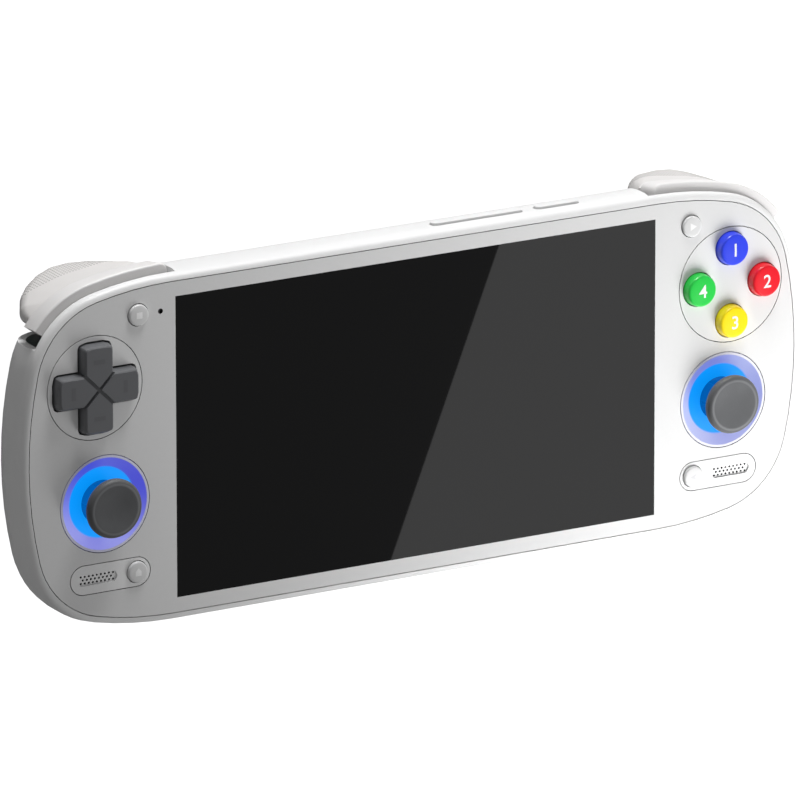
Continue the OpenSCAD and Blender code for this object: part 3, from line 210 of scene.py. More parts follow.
class ConsoleColours(bpy.types.PropertyGroup):
    """Colours of the finishes"""

    print_white: bpy.props.FloatVectorProperty(
        name="Print", description="White print behind the front glass",
        default=(0.74, 0.74, 0.74), subtype="COLOR")
    shell_white: bpy.props.FloatVectorProperty(
        name="Shell", description="White plastic of the case",
        default=(0.84, 0.84, 0.84), subtype="COLOR")
    field_white: bpy.props.FloatVectorProperty(
        name="Fields", description="White of the round fields under the pad and the face buttons",
        default=(0.755, 0.755, 0.755), subtype="COLOR")
    trigger_grey: bpy.props.FloatVectorProperty(
        name="Triggers", description="Warm light grey of the triggers",
        default=(0.78, 0.76, 0.75), subtype="COLOR")
    bumper_grey: bpy.props.FloatVectorProperty(
        name="Bumpers", description="Warm light grey of the bumpers",
        default=(0.87, 0.855, 0.85), subtype="COLOR")
    pad_grey: bpy.props.FloatVectorProperty(
        name="Direction pad", description="Dark grey plastic of the direction pad",
        default=(0.137, 0.140, 0.148), subtype="COLOR")
    cap_grey: bpy.props.FloatVectorProperty(
        name="Stick caps", description="Dark grey rubber of the stick caps",
        default=(0.117, 0.120, 0.125), subtype="COLOR")
    top_blue: bpy.props.FloatVectorProperty(
        name="Top button", description="Blue of the top face button",
        default=(0.03, 0.06, 0.80), subtype="COLOR")
    right_red: bpy.props.FloatVectorProperty(
        name="Right button", description="Red of the right face button",
        default=(0.80, 0.008, 0.02), subtype="COLOR")
    bottom_yellow: bpy.props.FloatVectorProperty(
        name="Bottom button", description="Yellow of the bottom face button",
        default=(0.95, 0.72, 0.004), subtype="COLOR")
    left_green: bpy.props.FloatVectorProperty(
        name="Left button", description="Green of the left face button",
        default=(0.02, 0.60, 0.07), subtype="COLOR")
    floor_blue: bpy.props.FloatVectorProperty(
        name="Ring floor", description="Light of the floor inside a ring",
        default=(0.0, 0.30, 0.95), subtype="COLOR")
    left_violet: bpy.props.FloatVectorProperty(
        name="Left slope", description="Light of the slope of the left ring",
        default=(0.03, 0.03, 0.60), subtype="COLOR")
    # Paler than the left slope: painted light standing for the key light falling from the right
    right_violet_painted_lit: bpy.props.FloatVectorProperty(
        name="Right slope", description="Light of the slope of the right ring",
        default=(0.17, 0.19, 0.66), subtype="COLOR")


# Shader maths

class Value:
    """An output of a material's node tree, with Python's arithmetic on it."""

    def __init__(self, tree, output):
        self.tree = tree
        self.output = output

    def node(self, kind, settings=None, values=None, output=0):
        """Adds a node: its settings first, then the values or links of its sockets."""
        made = self.tree.nodes.new(kind)
        for key, setting in (settings or {}).items():
            setattr(made, key, setting)
        for key, value in (values or {}).items():
            socket = next(s for s in made.inputs if key in (s.identifier, s.name))
            if isinstance(value, Value):
                self.tree.links.new(value.output, socket)
            else:
                socket.default_value = value
        return Value(self.tree, made.outputs[output])

    def maths(self, operation, first, second=0.0):
        return self.node("ShaderNodeMath", {"operation": operation}, {"Value": first, "Value_001": second})

    def __add__(self, other):
        return self.maths("ADD", self, other)

    def __radd__(self, other):
        return self.maths("ADD", other, self)

    def __sub__(self, other):
        return self.maths("SUBTRACT", self, other)

    def __rsub__(self, other):
        return self.maths("SUBTRACT", other, self)

    def __mul__(self, other):
        return self.maths("MULTIPLY", self, other)

    def __rmul__(self, other):
        return self.maths("MULTIPLY", other, self)

    def __truediv__(self, other):
        return self.maths("DIVIDE", self, other)

    def __rtruediv__(self, other):
        return self.maths("DIVIDE", other, self)

    def __pow__(self, other):
        return self.maths("POWER", self, other)

    def __lt__(self, other):
        return self.maths("LESS_THAN", self, other)

    def __abs__(self):
        return self.maths("ABSOLUTE", self)

    def sine(self):
        return self.maths("SINE", self)

    def axis(self, name):
        return self.node("ShaderNodeSeparateXYZ", {}, {"Vector": self}, name)

    def centred(self, point):
        return self.node("ShaderNodeMapping", {}, {"Vector": self, "Location": tuple(-c for c in point)})

    def stretched(self, scale):
        return self.node("ShaderNodeMapping", {}, {"Vector": self, "Scale": scale})

    def radius(self):
        x = self.axis("X")
        y = self.axis("Y")
        return (x * x + y * y) ** 0.5

    def noise(self, scale, detail=2.0):
        return self.node("ShaderNodeTexNoise", {}, {"Vector": self, "Scale": scale, "Detail": detail})

    def cells(self, scale):
        return self.node("ShaderNodeTexVoronoi", {}, {"Vector": self, "Scale": scale})

    def step(self, low, high):
        """0 below low, 1 above high and smooth between them."""
        return self.node("ShaderNodeMapRange", {"interpolation_type": "SMOOTHSTEP"},
                         {"Value": self, "From Min": low, "From Max": high})

    def mix(self, low, high):
        """A colour from low to high, with this value as the factor."""
        return self.node("ShaderNodeMix", {"data_type": "RGBA"},
                         {"Factor_Float": self, "A_Color": low, "B_Color": high}, 2)

    def bump(self, strength, distance):
        return self.node("ShaderNodeBump", {}, {"Height": self, "Strength": strength, "Distance": distance})


def finish(name):
    return bpy.data.materials["finish_" + name]


def opaque(colour, shade=1.0):
    return (colour[0] * shade, colour[1] * shade, colour[2] * shade, 1.0)


def new_material(name, vary, fixed=None):
    """A material whose fixed values sit on the shader and whose varying ones come from vary(spot)."""
    material = bpy.data.materials.new("finish_" + name)
    material.use_nodes = True
    tree = material.node_tree
    shader = next(n for n in tree.nodes if n.type == "BSDF_PRINCIPLED")
    for key, value in (fixed or {}).items():
        shader.inputs[key].default_value = value
    spot = Value(tree, tree.nodes.new("ShaderNodeTexCoord").outputs["Object"])
    for key, value in vary(spot).items():
        tree.links.new(value.output, shader.inputs[key])
    return material


# Finishes

def moulded_plastic(name, colour, rough, grain, depth, fixed=None, mottle=0.96):
    """Moulded plastic with a fine eroded grain and a faint mottle."""
    def vary(spot):
        flow = spot.noise(45.0, 3.0)
        speck = spot.noise(grain, 2.0)
        return {
            "Base Color": flow.step(0.3, 0.7).mix(opaque(colour, mottle), opaque(colour)),
            "Roughness": rough + 0.10 * (speck - 0.5),
            "Normal": speck.bump(0.3, depth),
        }
    return new_material(name, vary, fixed)


def frame_plastic(sizes, colours):
    """The white plastic of the front frame, duller on its round fields, with painted shade in its grille
    holes.
    """
    field = middle("dpad_cap")

    def vary(spot):
        beside = abs(spot.axis("X"))
        up = spot.axis("Y")
        from_field = ((beside + field.x) ** 2.0 + (up - field.y) ** 2.0) ** 0.5
        # Painted shade: below the level where the grille holes start, their white walls are painted near
        # black
        wide = abs(beside - sizes.grille_place[0]) < sizes.grille_width / 2
        high = abs(up - sizes.grille_place[1]) < sizes.grille_height / 2
        deep = spot.axis("Z") < sizes.grille_place[2]
        flow = spot.noise(45.0, 3.0)
        speck = spot.noise(3800.0, 2.0)
        white = flow.step(0.3, 0.7).mix(opaque(colours.shell_white, 0.985), opaque(colours.shell_white))
        plain = (from_field < sizes.field_radius).mix(white, opaque(colours.field_white))
        return {
            "Base Color": (wide * high * deep).mix(plain, (0.02, 0.02, 0.02, 1.0)),
            "Roughness": 0.44 + 0.10 * (speck - 0.5),
            "Normal": speck.bump(0.3, 0.000012),
        }
    return new_material("frame_white", vary)


def pad_plastic(sizes, colour):
    """Dark plastic of the direction pad, in the shade along the crossed grooves of its top."""
    def vary(spot):
        local = spot.centred(middle("dpad_cap"))
        beside = abs(abs(local.axis("X")) - abs(local.axis("Y")))
        inside = local.radius() < sizes.pad_arm * 0.7
        shade = beside.step(sizes.pad_groove, sizes.pad_groove * 0.4) * inside
        speck = spot.noise(2800.0, 2.0)
        plain = spot.noise(45.0, 3.0).step(0.3, 0.7).mix(opaque(colour, 0.96), opaque(colour))
        return {
            "Base Color": shade.mix(plain, opaque(colour, 0.55)),
            "Roughness": 0.35 + 0.10 * (speck - 0.5),
            "Normal": speck.bump(0.3, 0.000012),
        }
    return new_material("pad_plastic", vary)


def printed_glass(sizes, colours):
    """Glass sheet printed white behind, with painted shade on its sides, and a clear window onto the
    display.
    """
    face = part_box("front_glass")[1].z

    def vary(spot):
        across = abs(spot.axis("X")) < sizes.screen_width / 2
        up = abs(spot.axis("Y")) < sizes.screen_height / 2
        window = across * up
        print_dots = spot.noise(900.0, 2.0)
        white = print_dots.mix(opaque(colours.print_white, 0.97), opaque(colours.print_white))
        # Painted shade: the glass's sides below its face are painted near black, as if shadowed in the seam
        edge = spot.axis("Z") < face - GLASS_SHADE_DEPTH
        dark = spot.noise(20.0, 2.0).mix((0.0035, 0.0035, 0.0037, 1.0), (0.0045, 0.0045, 0.0048, 1.0))
        return {
            "Base Color": edge.mix(window.mix(white, dark), (0.03, 0.03, 0.03, 1.0)),
            "Roughness": (0.30 + 0.04 * print_dots) * (1.0 - window) + 0.01 * window,
        }
    return new_material("printed_glass", vary, {"IOR": 1.4})


def cap_rubber(name, colour, centre, highlight_radius):
    """Rubber of a stick cap, with a painted highlight along the rim of its top."""
    def vary(spot):
        # Painted highlight: a ring near the top's edge is painted paler and glossier
        rim = abs(spot.centred(centre).radius() - highlight_radius).step(0.0004, 0.0001)
        pebble = spot.cells(2600.0)
        bloom = spot.noise(160.0, 3.0)
        skin = bloom.step(0.3, 0.75).mix(opaque(colour, 0.86), opaque(colour))
        return {
            "Base Color": (rim * 0.55).mix(skin, opaque(colour, 1.9)),
            "Roughness": 0.52 + 0.14 * (bloom - 0.5) - 0.12 * rim,
            "Normal": pebble.bump(0.25, 0.00003),
        }
    return new_material(name, vary, {"Sheen Weight": 0.08, "IOR": 1.45})


def rubber(name, colour, rough, depth):
    """Soft rubber with a pebbled skin."""
    def vary(spot):
        pebble = spot.cells(2600.0)
        bloom = spot.noise(160.0, 3.0)
        return {
            "Base Color": bloom.step(0.3, 0.75).mix(opaque(colour, 0.86), opaque(colour)),
            "Roughness": rough + 0.14 * (bloom - 0.5),
            "Normal": pebble.bump(0.25, depth),
        }
    return new_material(name, vary, {"Sheen Weight": 0.08, "IOR": 1.45})


def light_ring(name, blue, violet, centre, floor_radius, lip_radius):
    """Milky light guide: a blue floor and a violet slope, paler towards the lower side, with a painted
    shadow darkening the floor next to the stick cap.
    """
    def vary(spot):
        local = spot.centred(centre)
        radius = local.radius()
        slope = radius.step(floor_radius - 0.0002, floor_radius + 0.0003)
        lip = radius.step(lip_radius - 0.0001, lip_radius + 0.0001)
        rise = local.axis("Y") + 0.4 * local.axis("X")
        lower = (0.5 - rise / (2.2 * lip_radius)).step(0.1, 1.0)
        # Painted shadow: the floor's light is lowered near the middle, where the stick cap would shade it
        clear_of_painted_shadow = radius.step(floor_radius * 0.62, floor_radius * 0.92)
        floor = clear_of_painted_shadow.mix(opaque(blue, 0.92), opaque(blue))
        tint = lower.mix(opaque(violet, 0.9), opaque([0.82 * part + 0.18 for part in violet]))
        glow = lip.mix(slope.mix(floor, tint), (0.02, 0.02, 0.06, 1.0))
        milk = slope.mix((0.01, 0.05, 0.15, 1.0), (0.20, 0.22, 0.18, 1.0))
        cloud = spot.noise(300.0, 2.0)
        return {
            "Emission Color": glow,
            "Base Color": lip.mix(milk, (0.72, 0.72, 0.78, 1.0)),
            "Roughness": 0.32 + 0.06 * cloud,
        }
    return new_material(name, vary, {"Emission Strength": 1.0})


def painted_glow_plastic(name, centre, reach):
    """Plastic under a stick cap, painted dark blue as shade, with a painted glow where the ring's light
    would spill onto it.
    """
    def vary(spot):
        # Painted shade and glow: the base colour is a blue-tinted near black for the shade under the cap,
        # and the emission stands for the ring's light
        painted_glow = spot.centred(centre).radius().step(reach, reach * 0.9)
        speck = spot.noise(1500.0, 2.0)
        return {
            "Base Color": speck.mix((0.009, 0.012, 0.03, 1.0), (0.011, 0.015, 0.036, 1.0)),
            "Roughness": 0.5 + 0.10 * (speck - 0.5),
            "Normal": speck.bump(0.3, 0.00003),
            "Emission Color": painted_glow.mix((0.0, 0.0, 0.0, 1.0), (0.0, 0.10, 0.40, 1.0)),
        }
    return new_material(name, vary, {"Emission Strength": 1.0})


def metal(name, colour, rough, grain):
    """Drawn or milled metal with fine tool lines."""
    def vary(spot):
        lines = spot.stretched((grain, grain * 14, grain)).noise(1.0, 3.0)
        stain = spot.noise(120.0, 3.0)
        return {
            "Base Color": stain.mix(opaque(colour, 0.86), opaque(colour)),
            "Roughness": rough + 0.16 * (lines - 0.5),
            "Normal": lines.bump(0.15, 0.00002),
        }
    return new_material(name, vary, {"Metallic": 1.0})


def circuit_board(name):
    """Solder mask over traces, with bare pads."""
    def vary(spot):
        rows = (spot.axis("Y") * 4200.0).sine()
        columns = (spot.axis("X") * 3100.0).sine()
        field = spot.cells(220.0).step(0.0015, 0.0035)
        trace = field.mix((0.012, 0.10, 0.055, 1.0), (0.02, 0.16, 0.09, 1.0))
        lines = (rows * columns).step(0.1, 0.6)
        pads = spot.cells(700.0) < 0.12
        return {
            "Base Color": pads.mix(lines.mix((0.008, 0.07, 0.04, 1.0), trace), (0.62, 0.46, 0.16, 1.0)),
            "Metallic": pads * 0.9,
            "Roughness": 0.42 - 0.12 * pads,
            "Normal": lines.bump(0.2, 0.00003),
        }
    return new_material(name, vary)


def striped_film(name, low, high, pitch, rough):
    """Thin film with fine lines along it, as on a ribbon cable or a wrapped cell."""
    def vary(spot):
        lines = (spot.axis("X") * (2 * math.pi / pitch)).sine().step(-0.2, 0.4)
        crease = spot.noise(90.0, 3.0)
        return {
            "Base Color": lines.mix(opaque(low), opaque(high)),
            "Roughness": rough + 0.15 * (crease - 0.5),
            "Normal": crease.bump(0.2, 0.0001),
        }
    return new_material(name, vary, {"IOR": 1.5})


def slot_materials(sizes, colours):
    """One material for each material slot of the record, save the light guide's."""
    made = {
        "printed_glass": printed_glass(sizes, colours),
        "display": moulded_plastic("display", (0.006, 0.006, 0.007), 0.12, 800.0, 0.000002),
        "white_shell": moulded_plastic("white_shell", colours.shell_white, 0.36, 3800.0, 0.000012,
                                       mottle=0.985),
        "grey_plastic": moulded_plastic("grey_plastic", colours.trigger_grey, 0.42, 3000.0, 0.00002),
        "dark_plastic": moulded_plastic("dark_plastic", colours.pad_grey, 0.35, 2800.0, 0.000012),
        "black_plastic": moulded_plastic("black_plastic", (0.02, 0.02, 0.022), 0.45, 1500.0, 0.00003),
        "cap_rubber": rubber("cap_rubber", colours.cap_grey, 0.52, 0.00003),
        "contact_rubber": rubber("contact_rubber", (0.30, 0.31, 0.33), 0.60, 0.00004),
        "steel": metal("steel", (0.62, 0.63, 0.65), 0.32, 120.0),
        "copper": metal("copper", (0.80, 0.40, 0.24), 0.30, 120.0),
        "circuit_board": circuit_board("circuit_board"),
        "ribbon": striped_film("ribbon", (0.35, 0.14, 0.03), (0.55, 0.26, 0.07), 0.0008, 0.35),
        "battery_wrap": striped_film("battery_wrap", (0.05, 0.055, 0.06), (0.06, 0.065, 0.07), 0.006, 0.38),
    }
    buttons = {
        "button_blue": colours.top_blue,
        "button_red": colours.right_red,
        "button_yellow": colours.bottom_yellow,
        "button_green": colours.left_green,
    }
    gloss = {"Coat Weight": 0.25, "Coat Roughness": 0.12}
    for slot, colour in buttons.items():
        made[slot] = moulded_plastic(slot, colour, 0.30, 4200.0, 0.0000015, gloss, 0.985)
    return made


# Pieces

def middle(node):
    low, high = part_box(node)
    return (low + high) / 2


def body_of(node):
    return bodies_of(NODES[node])[0]


def coat(obj, material):
    obj.data.materials.clear()
    obj.data.materials.append(material)


def new_piece(name, mesh, body, material):
    """Links a mesh that already lies in its place, and lets it ride on a body."""
    obj = bpy.data.objects.new(name, mesh)
    bpy.context.scene.collection.objects.link(obj)
    coat(obj, material)
    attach(obj, body)
    return obj


def merged_mesh(node, name, flats=False):
    """A copy of a CAD node with its doubles merged, and on request its flat faces made whole."""
    shape = bmesh.new()
    shape.from_mesh(NODES[node].data)
    bmesh.ops.remove_doubles(shape, verts=shape.verts, dist=MERGE_DISTANCE)
    if flats:
        flat = math.radians(0.5)
        bmesh.ops.dissolve_limit(shape, angle_limit=flat, verts=shape.verts, edges=shape.edges)
    mesh = bpy.data.meshes.new(name)
    shape.to_mesh(mesh)
    shape.free()
    for attribute in ("custom_normal", "UVMap"):
        if attribute in mesh.attributes:
            mesh.attributes.remove(mesh.attributes[attribute])
    return mesh


def smooth(mesh, angle):
    mesh.shade_smooth()
    mesh.set_sharp_from_angle(angle=math.radians(angle))


def round_edges(obj, width, angle, segments):
    rounding = obj.modifiers.new("edges", "BEVEL")
    rounding.width = width
    rounding.segments = segments
    rounding.limit_method = "ANGLE"
    rounding.angle_limit = math.radians(angle)


def finished_copy(node, material, angle=35.0, edge=0.0, edge_angle=50.0, segments=3):
    """Stands for a CAD node with smooth shading and, on request, rounded edges."""
    mesh = merged_mesh(node, node + "_finished", flats=edge > 0)
    smooth(mesh, angle)
    obj = new_piece(node + "_finished", mesh, body_of(node), material)
    if edge > 0:
        round_edges(obj, edge, edge_angle, segments)
    weighted = obj.modifiers.new("flat_faces", "WEIGHTED_NORMAL")
    weighted.keep_sharp = True
    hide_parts(node)
    return obj


def plain_mesh(obj, name):
    """The evaluated object as a plain mesh."""
    graph = bpy.context.evaluated_depsgraph_get()
    mesh = bpy.data.meshes.new_from_object(obj.evaluated_get(graph))
    mesh.name = name
    return mesh


def inlay(name, mesh, centre, top, fall, material, body):
    """Lays a flat mesh, drawn round the origin, on a shallow cone that falls away from its top."""
    shape = bmesh.new()
    shape.from_mesh(mesh)
    bmesh.ops.remove_doubles(shape, verts=shape.verts, dist=MERGE_DISTANCE / 2)
    bmesh.ops.triangulate(shape, faces=shape.faces)
    bmesh.ops.subdivide_edges(shape, edges=shape.edges, cuts=3, use_grid_fill=True)
    for vertex in shape.verts:
        drop = fall * math.hypot(vertex.co.x, vertex.co.y)
        vertex.co = Vector((centre.x + vertex.co.x, centre.y + vertex.co.y, top - drop + MARK_LIFT))
    bmesh.ops.recalc_face_normals(shape, faces=shape.faces)
    if sum(face.normal.z for face in shape.faces) < 0:
        bmesh.ops.reverse_faces(shape, faces=shape.faces)
    laid = bpy.data.meshes.new(name)
    shape.to_mesh(laid)
    shape.free()
    return new_piece(name, laid, body, material)


def number_mesh(text, size):
    """A plain number drawn round the origin."""
    curve = bpy.data.curves.new("number_" + text, "FONT")
    curve.body = text
    curve.size = size
    curve.align_x = "CENTER"
    curve.align_y = "CENTER"
    # A little bolder than the font
    curve.offset = size * 0.012
    drawn = bpy.data.objects.new("number_" + text, curve)
    bpy.context.scene.collection.objects.link(drawn)
    mesh = plain_mesh(drawn, "number_" + text)
    bpy.data.objects.remove(drawn)
    low_x = min(v.co.x for v in mesh.vertices)
    high_x = max(v.co.x for v in mesh.vertices)
    low_y = min(v.co.y for v in mesh.vertices)
    high_y = max(v.co.y for v in mesh.vertices)
    mesh.transform(Matrix.Translation((-(low_x + high_x) / 2, -(low_y + high_y) / 2, 0)))
    return mesh


def polygon_mesh(name, points):
    mesh = bpy.data.meshes.new(name)
    mesh.from_pydata([(x, y, 0) for x, y in points], [], [list(range(len(points)))])
    return mesh


# Geometry nodes

def modifier_tree(name, inputs):
    """A tree with a geometry input, named inputs of the kinds given, and a geometry output."""
    tree = bpy.data.node_groups.new(name, "GeometryNodeTree")
    tree.interface.new_socket("Geometry", in_out="INPUT", socket_type="NodeSocketGeometry")
    for key, kind in inputs.items():
        tree.interface.new_socket(key, in_out="INPUT", socket_type="NodeSocket" + kind)
    tree.interface.new_socket("Geometry", in_out="OUTPUT", socket_type="NodeSocketGeometry")
    group = tree.nodes.new("NodeGroupInput")
    return tree, {socket.name: socket for socket in group.outputs}


def tree_node(tree, kind, settings=None, values=None):
    """Adds a node to a tree: its settings, then the values or links of its sockets."""
    made = tree.nodes.new(kind)
    for key, setting in (settings or {}).items():
        setattr(made, key, setting)
    for key, value in (values or {}).items():
        if isinstance(value, bpy.types.NodeSocket):
            tree.links.new(value, made.inputs[key])
        else:
            made.inputs[key].default_value = value
    return made.outputs


def end_tree(tree, instances, material):
    """Ends a tree in Realize Instances and Set Material."""
    real = tree_node(tree, "GeometryNodeRealizeInstances", {}, {"Geometry": instances})
    paint = tree_node(tree, "GeometryNodeSetMaterial", {}, {"Geometry": real[0], "Material": material})
    out = tree.nodes.new("NodeGroupOutput")
    tree.links.new(paint[0], out.inputs["Geometry"])


def grip_dot_tree():
    """A grid of points, set down on the mesh by rays along -Y, with a low dot on each."""
    tree, given = modifier_tree("grip_dots", {
        "Middle": "Vector", "Width": "Float", "Depth": "Float", "Columns": "Int", "Rows": "Int",
        "Dot radius": "Float", "Dot height": "Float", "Material": "Material"})
    grid = tree_node(tree, "GeometryNodeMeshGrid", {}, {
        "Size X": given["Width"], "Size Y": given["Depth"],
        "Vertices X": given["Columns"], "Vertices Y": given["Rows"]})
    laid = tree_node(tree, "GeometryNodeTransform", {}, {
        "Geometry": grid["Mesh"], "Translation": given["Middle"], "Rotation": (math.pi / 2, 0.0, 0.0)})
    ray = tree_node(tree, "GeometryNodeRaycast", {}, {
        "Target Geometry": given["Geometry"], "Ray Direction": (0.0, -1.0, 0.0), "Ray Length": 0.1})
    kept = tree_node(tree, "GeometryNodeStoreNamedAttribute", {"data_type": "FLOAT_VECTOR"}, {
        "Geometry": laid["Geometry"], "Name": "lean", "Value": ray["Hit Normal"]})
    hits = tree_node(tree, "GeometryNodeStoreNamedAttribute", {"data_type": "BOOLEAN"}, {
        "Geometry": kept["Geometry"], "Name": "hit", "Value": ray["Is Hit"]})
    down = tree_node(tree, "GeometryNodeSetPosition", {}, {
        "Geometry": hits["Geometry"], "Position": ray["Hit Position"]})
    lean = tree_node(tree, "GeometryNodeInputNamedAttribute", {"data_type": "FLOAT_VECTOR"}, {
        "Name": "lean"})
    hit = tree_node(tree, "GeometryNodeInputNamedAttribute", {"data_type": "BOOLEAN"}, {"Name": "hit"})
    turn = tree_node(tree, "FunctionNodeAlignRotationToVector", {"axis": "Z"}, {
        "Vector": lean["Attribute"]})
    dot = tree_node(tree, "GeometryNodeMeshUVSphere", {}, {
        "Segments": 8, "Rings": 4, "Radius": given["Dot radius"]})
    ratio = tree_node(tree, "ShaderNodeMath", {"operation": "DIVIDE"}, {
        0: given["Dot height"], 1: given["Dot radius"]})
    flat = tree_node(tree, "ShaderNodeCombineXYZ", {}, {"X": 1.0, "Y": 1.0, "Z": ratio["Value"]})
    low = tree_node(tree, "GeometryNodeTransform", {}, {"Geometry": dot["Mesh"], "Scale": flat["Vector"]})
    spread = tree_node(tree, "GeometryNodeInstanceOnPoints", {}, {
        "Points": down["Geometry"], "Selection": hit["Attribute"],
        "Instance": low["Geometry"], "Rotation": turn["Rotation"]})
    end_tree(tree, spread["Instances"], given["Material"])
    return tree


def repeat_tree():
    """One object on every point of the mesh."""
    tree, given = modifier_tree("repeated_screws", {"Screw": "Object", "Material": "Material"})
    one = tree_node(tree, "GeometryNodeObjectInfo", {}, {"Object": given["Screw"]})
    spread = tree_node(tree, "GeometryNodeInstanceOnPoints", {}, {
        "Points": given["Geometry"], "Instance": one["Geometry"]})
    end_tree(tree, spread["Instances"], given["Material"])
    return tree


def grown_mesh(name, mesh, tree, values):
    """What a node tree makes of a mesh, as a plain mesh."""
    carrier = bpy.data.objects.new(name, mesh)
    bpy.context.scene.collection.objects.link(carrier)
    modifier = carrier.modifiers.new("grow", "NODES")
    modifier.node_group = tree
    for item in tree.interface.items_tree:
        if item.in_out == "INPUT" and item.name in values:
            modifier[item.identifier] = values[item.name]
    grown = plain_mesh(carrier, name)
    bpy.data.objects.remove(carrier)
    return grown


def loose_parts(shape):
    """The separate parts of a bmesh, as lists of vertices."""
    left = set(shape.verts)
    parts = []
    while left:
        part = []
        ends = [left.pop()]
        while ends:
            vertex = ends.pop()
            part.append(vertex)
            for edge in vertex.link_edges:
                other = edge.other_vert(vertex)
                if other in left:
                    left.remove(other)
                    ends.append(other)
        parts.append(part)
    return parts


def finished_screws(node, edge):
    """Rounds one of a node's like screws and repeats it at the places of all of them."""
    shape = bmesh.new()
    shape.from_mesh(merged_mesh(node, node + "_merged", flats=True))
    parts = loose_parts(shape)
    places = []
    for part in parts:
        xs = [vertex.co.x for vertex in part]
        ys = [vertex.co.y for vertex in part]
        places.append(((min(xs) + max(xs)) / 2, (min(ys) + max(ys)) / 2, 0.0))
    spare = [vertex for part in parts[1:] for vertex in part]
    bmesh.ops.delete(shape, geom=spare, context="VERTS")
    bmesh.ops.translate(shape, verts=shape.verts, vec=-Vector(places[0]))
    mesh = bpy.data.meshes.new(node + "_one")
    shape.to_mesh(mesh)
    shape.free()
    smooth(mesh, 35.0)
    screw = bpy.data.objects.new(node + "_one", mesh)
    bpy.context.scene.collection.objects.link(screw)
    round_edges(screw, edge, 50.0, 2)
    points = bpy.data.meshes.new(node + "_places")
    points.from_pydata(places, [], [])
    steel = finish(SLOTS[node])
    grown = grown_mesh(node + "_finished", points, repeat_tree(), {"Screw": screw, "Material": steel})
    bpy.data.objects.remove(screw)
    obj = new_piece(node + "_finished", grown, body_of(node), steel)
    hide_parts(node)


# Operators

class ConsoleOperator:
    """What the operators share."""

    bl_options = {"REGISTER"}

    def sizes(self, context):
        return context.scene.console_sizes

    def colours(self, context):
        return context.scene.console_colours


class CONSOLE_OT_finishes(ConsoleOperator, bpy.types.Operator):
    """Makes the finishes and gives every CAD node the one of its material slot"""

    bl_idname = "console.finishes"
    bl_label = "Finishes"

    def execute(self, context):
        sizes = self.sizes(context)
        colours = self.colours(context)
        made = slot_materials(sizes, colours)
        for node, obj in NODES.items():
            if SLOTS[node] != "light_guide":
                coat(obj, made[SLOTS[node]])
        violets = {"left": colours.left_violet, "right": colours.right_violet_painted_lit}
        for side in SIDES:
            self.light_side(sizes, side, colours.floor_blue, violets[side])
        return {"FINISHED"}

    def light_side(self, sizes, side, blue, violet):
        """Lights a ring, and paints shade and a glow of its light on what stands under its stick cap."""
        ring = side + "_light_ring"
        low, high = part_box(ring)
        centre = (low + high) / 2
        lip = (high.x - low.x) / 2 - sizes.ring_lip
        coat(NODES[ring], light_ring(ring, blue, violet, centre, sizes.floor_radius, lip))
        shaded = painted_glow_plastic(side + "_painted_shade_glow_plastic", centre, sizes.well_radius)
        for part in ("_stick_base", "_stick_yoke", "_stick_lever"):
            coat(NODES[side + part], shaded)


class CONSOLE_OT_case(ConsoleOperator, bpy.types.Operator):
    """Smooths the case and the keys on its top edge, and rounds the screws"""

    bl_idname = "console.case"
    bl_label = "Case"

    def execute(self, context):
        sizes = self.sizes(context)
        finished_copy("rear_shell", finish("white_shell"))
        finished_copy("front_frame", frame_plastic(sizes, self.colours(context)))
        for node in ("volume_rocker", "power_button"):
            finished_copy(node, finish("white_shell"), edge=sizes.key_edge)
        for node in ("case_screws", "board_screws"):
            finished_screws(node, sizes.screw_edge)
        return {"FINISHED"}


class CONSOLE_OT_direction_pad(ConsoleOperator, bpy.types.Operator):
    """Rounds the edges of the direction pad and lays a faint bar on each arm"""

    bl_idname = "console.direction_pad"
    bl_label = "Direction pad"

    def execute(self, context):
        sizes = self.sizes(context)
        colour = self.colours(context).pad_grey
        finished_copy("dpad_cap", pad_plastic(sizes, colour), 25.0, sizes.pad_edge, 20.0)
        # The bars are real raised marks; their darker colour is painted shade standing for their relief
        self.add_bars(sizes, moulded_plastic("pad_bar", opaque(colour, 0.88), 0.42, 2800.0, 0.000012))
        return {"FINISHED"}

    def add_bars(self, sizes, material):
        """Lays a bar across each arm, turned a quarter from one to the next."""
        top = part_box("dpad_cap")[1].z
        half_length = sizes.bar_length / 2
        near = sizes.bar_reach - sizes.bar_width / 2
        far = sizes.bar_reach + sizes.bar_width / 2
        bar = [(-half_length, near), (half_length, near), (half_length, far), (-half_length, far)]
        for count in range(4):
            name = "dpad_bar_" + str(count + 1)
            mesh = polygon_mesh(name, bar)
            mesh.transform(Matrix.Rotation(count * math.pi / 2, 4, "Z"))
            inlay(name, mesh, middle("dpad_cap"), top, 0.0, material, body_of("dpad_cap"))


class CONSOLE_OT_face_buttons(ConsoleOperator, bpy.types.Operator):
    """Smooths the face buttons and lays a plain number on each"""

    bl_idname = "console.face_buttons"
    bl_label = "Face buttons"

    def execute(self, context):
        white = moulded_plastic("number_white", (0.86, 0.86, 0.86), 0.35, 1800.0, 0.000005)
        for count, node in enumerate(FACE_BUTTONS):
            finished_copy(node, finish(SLOTS[node]))
            mesh = number_mesh(str(count + 1), self.sizes(context).number_height)
            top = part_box(node)[1].z
            inlay(node + "_number", mesh, middle(node), top, FACE_CROWN, white, body_of(node))
        return {"FINISHED"}


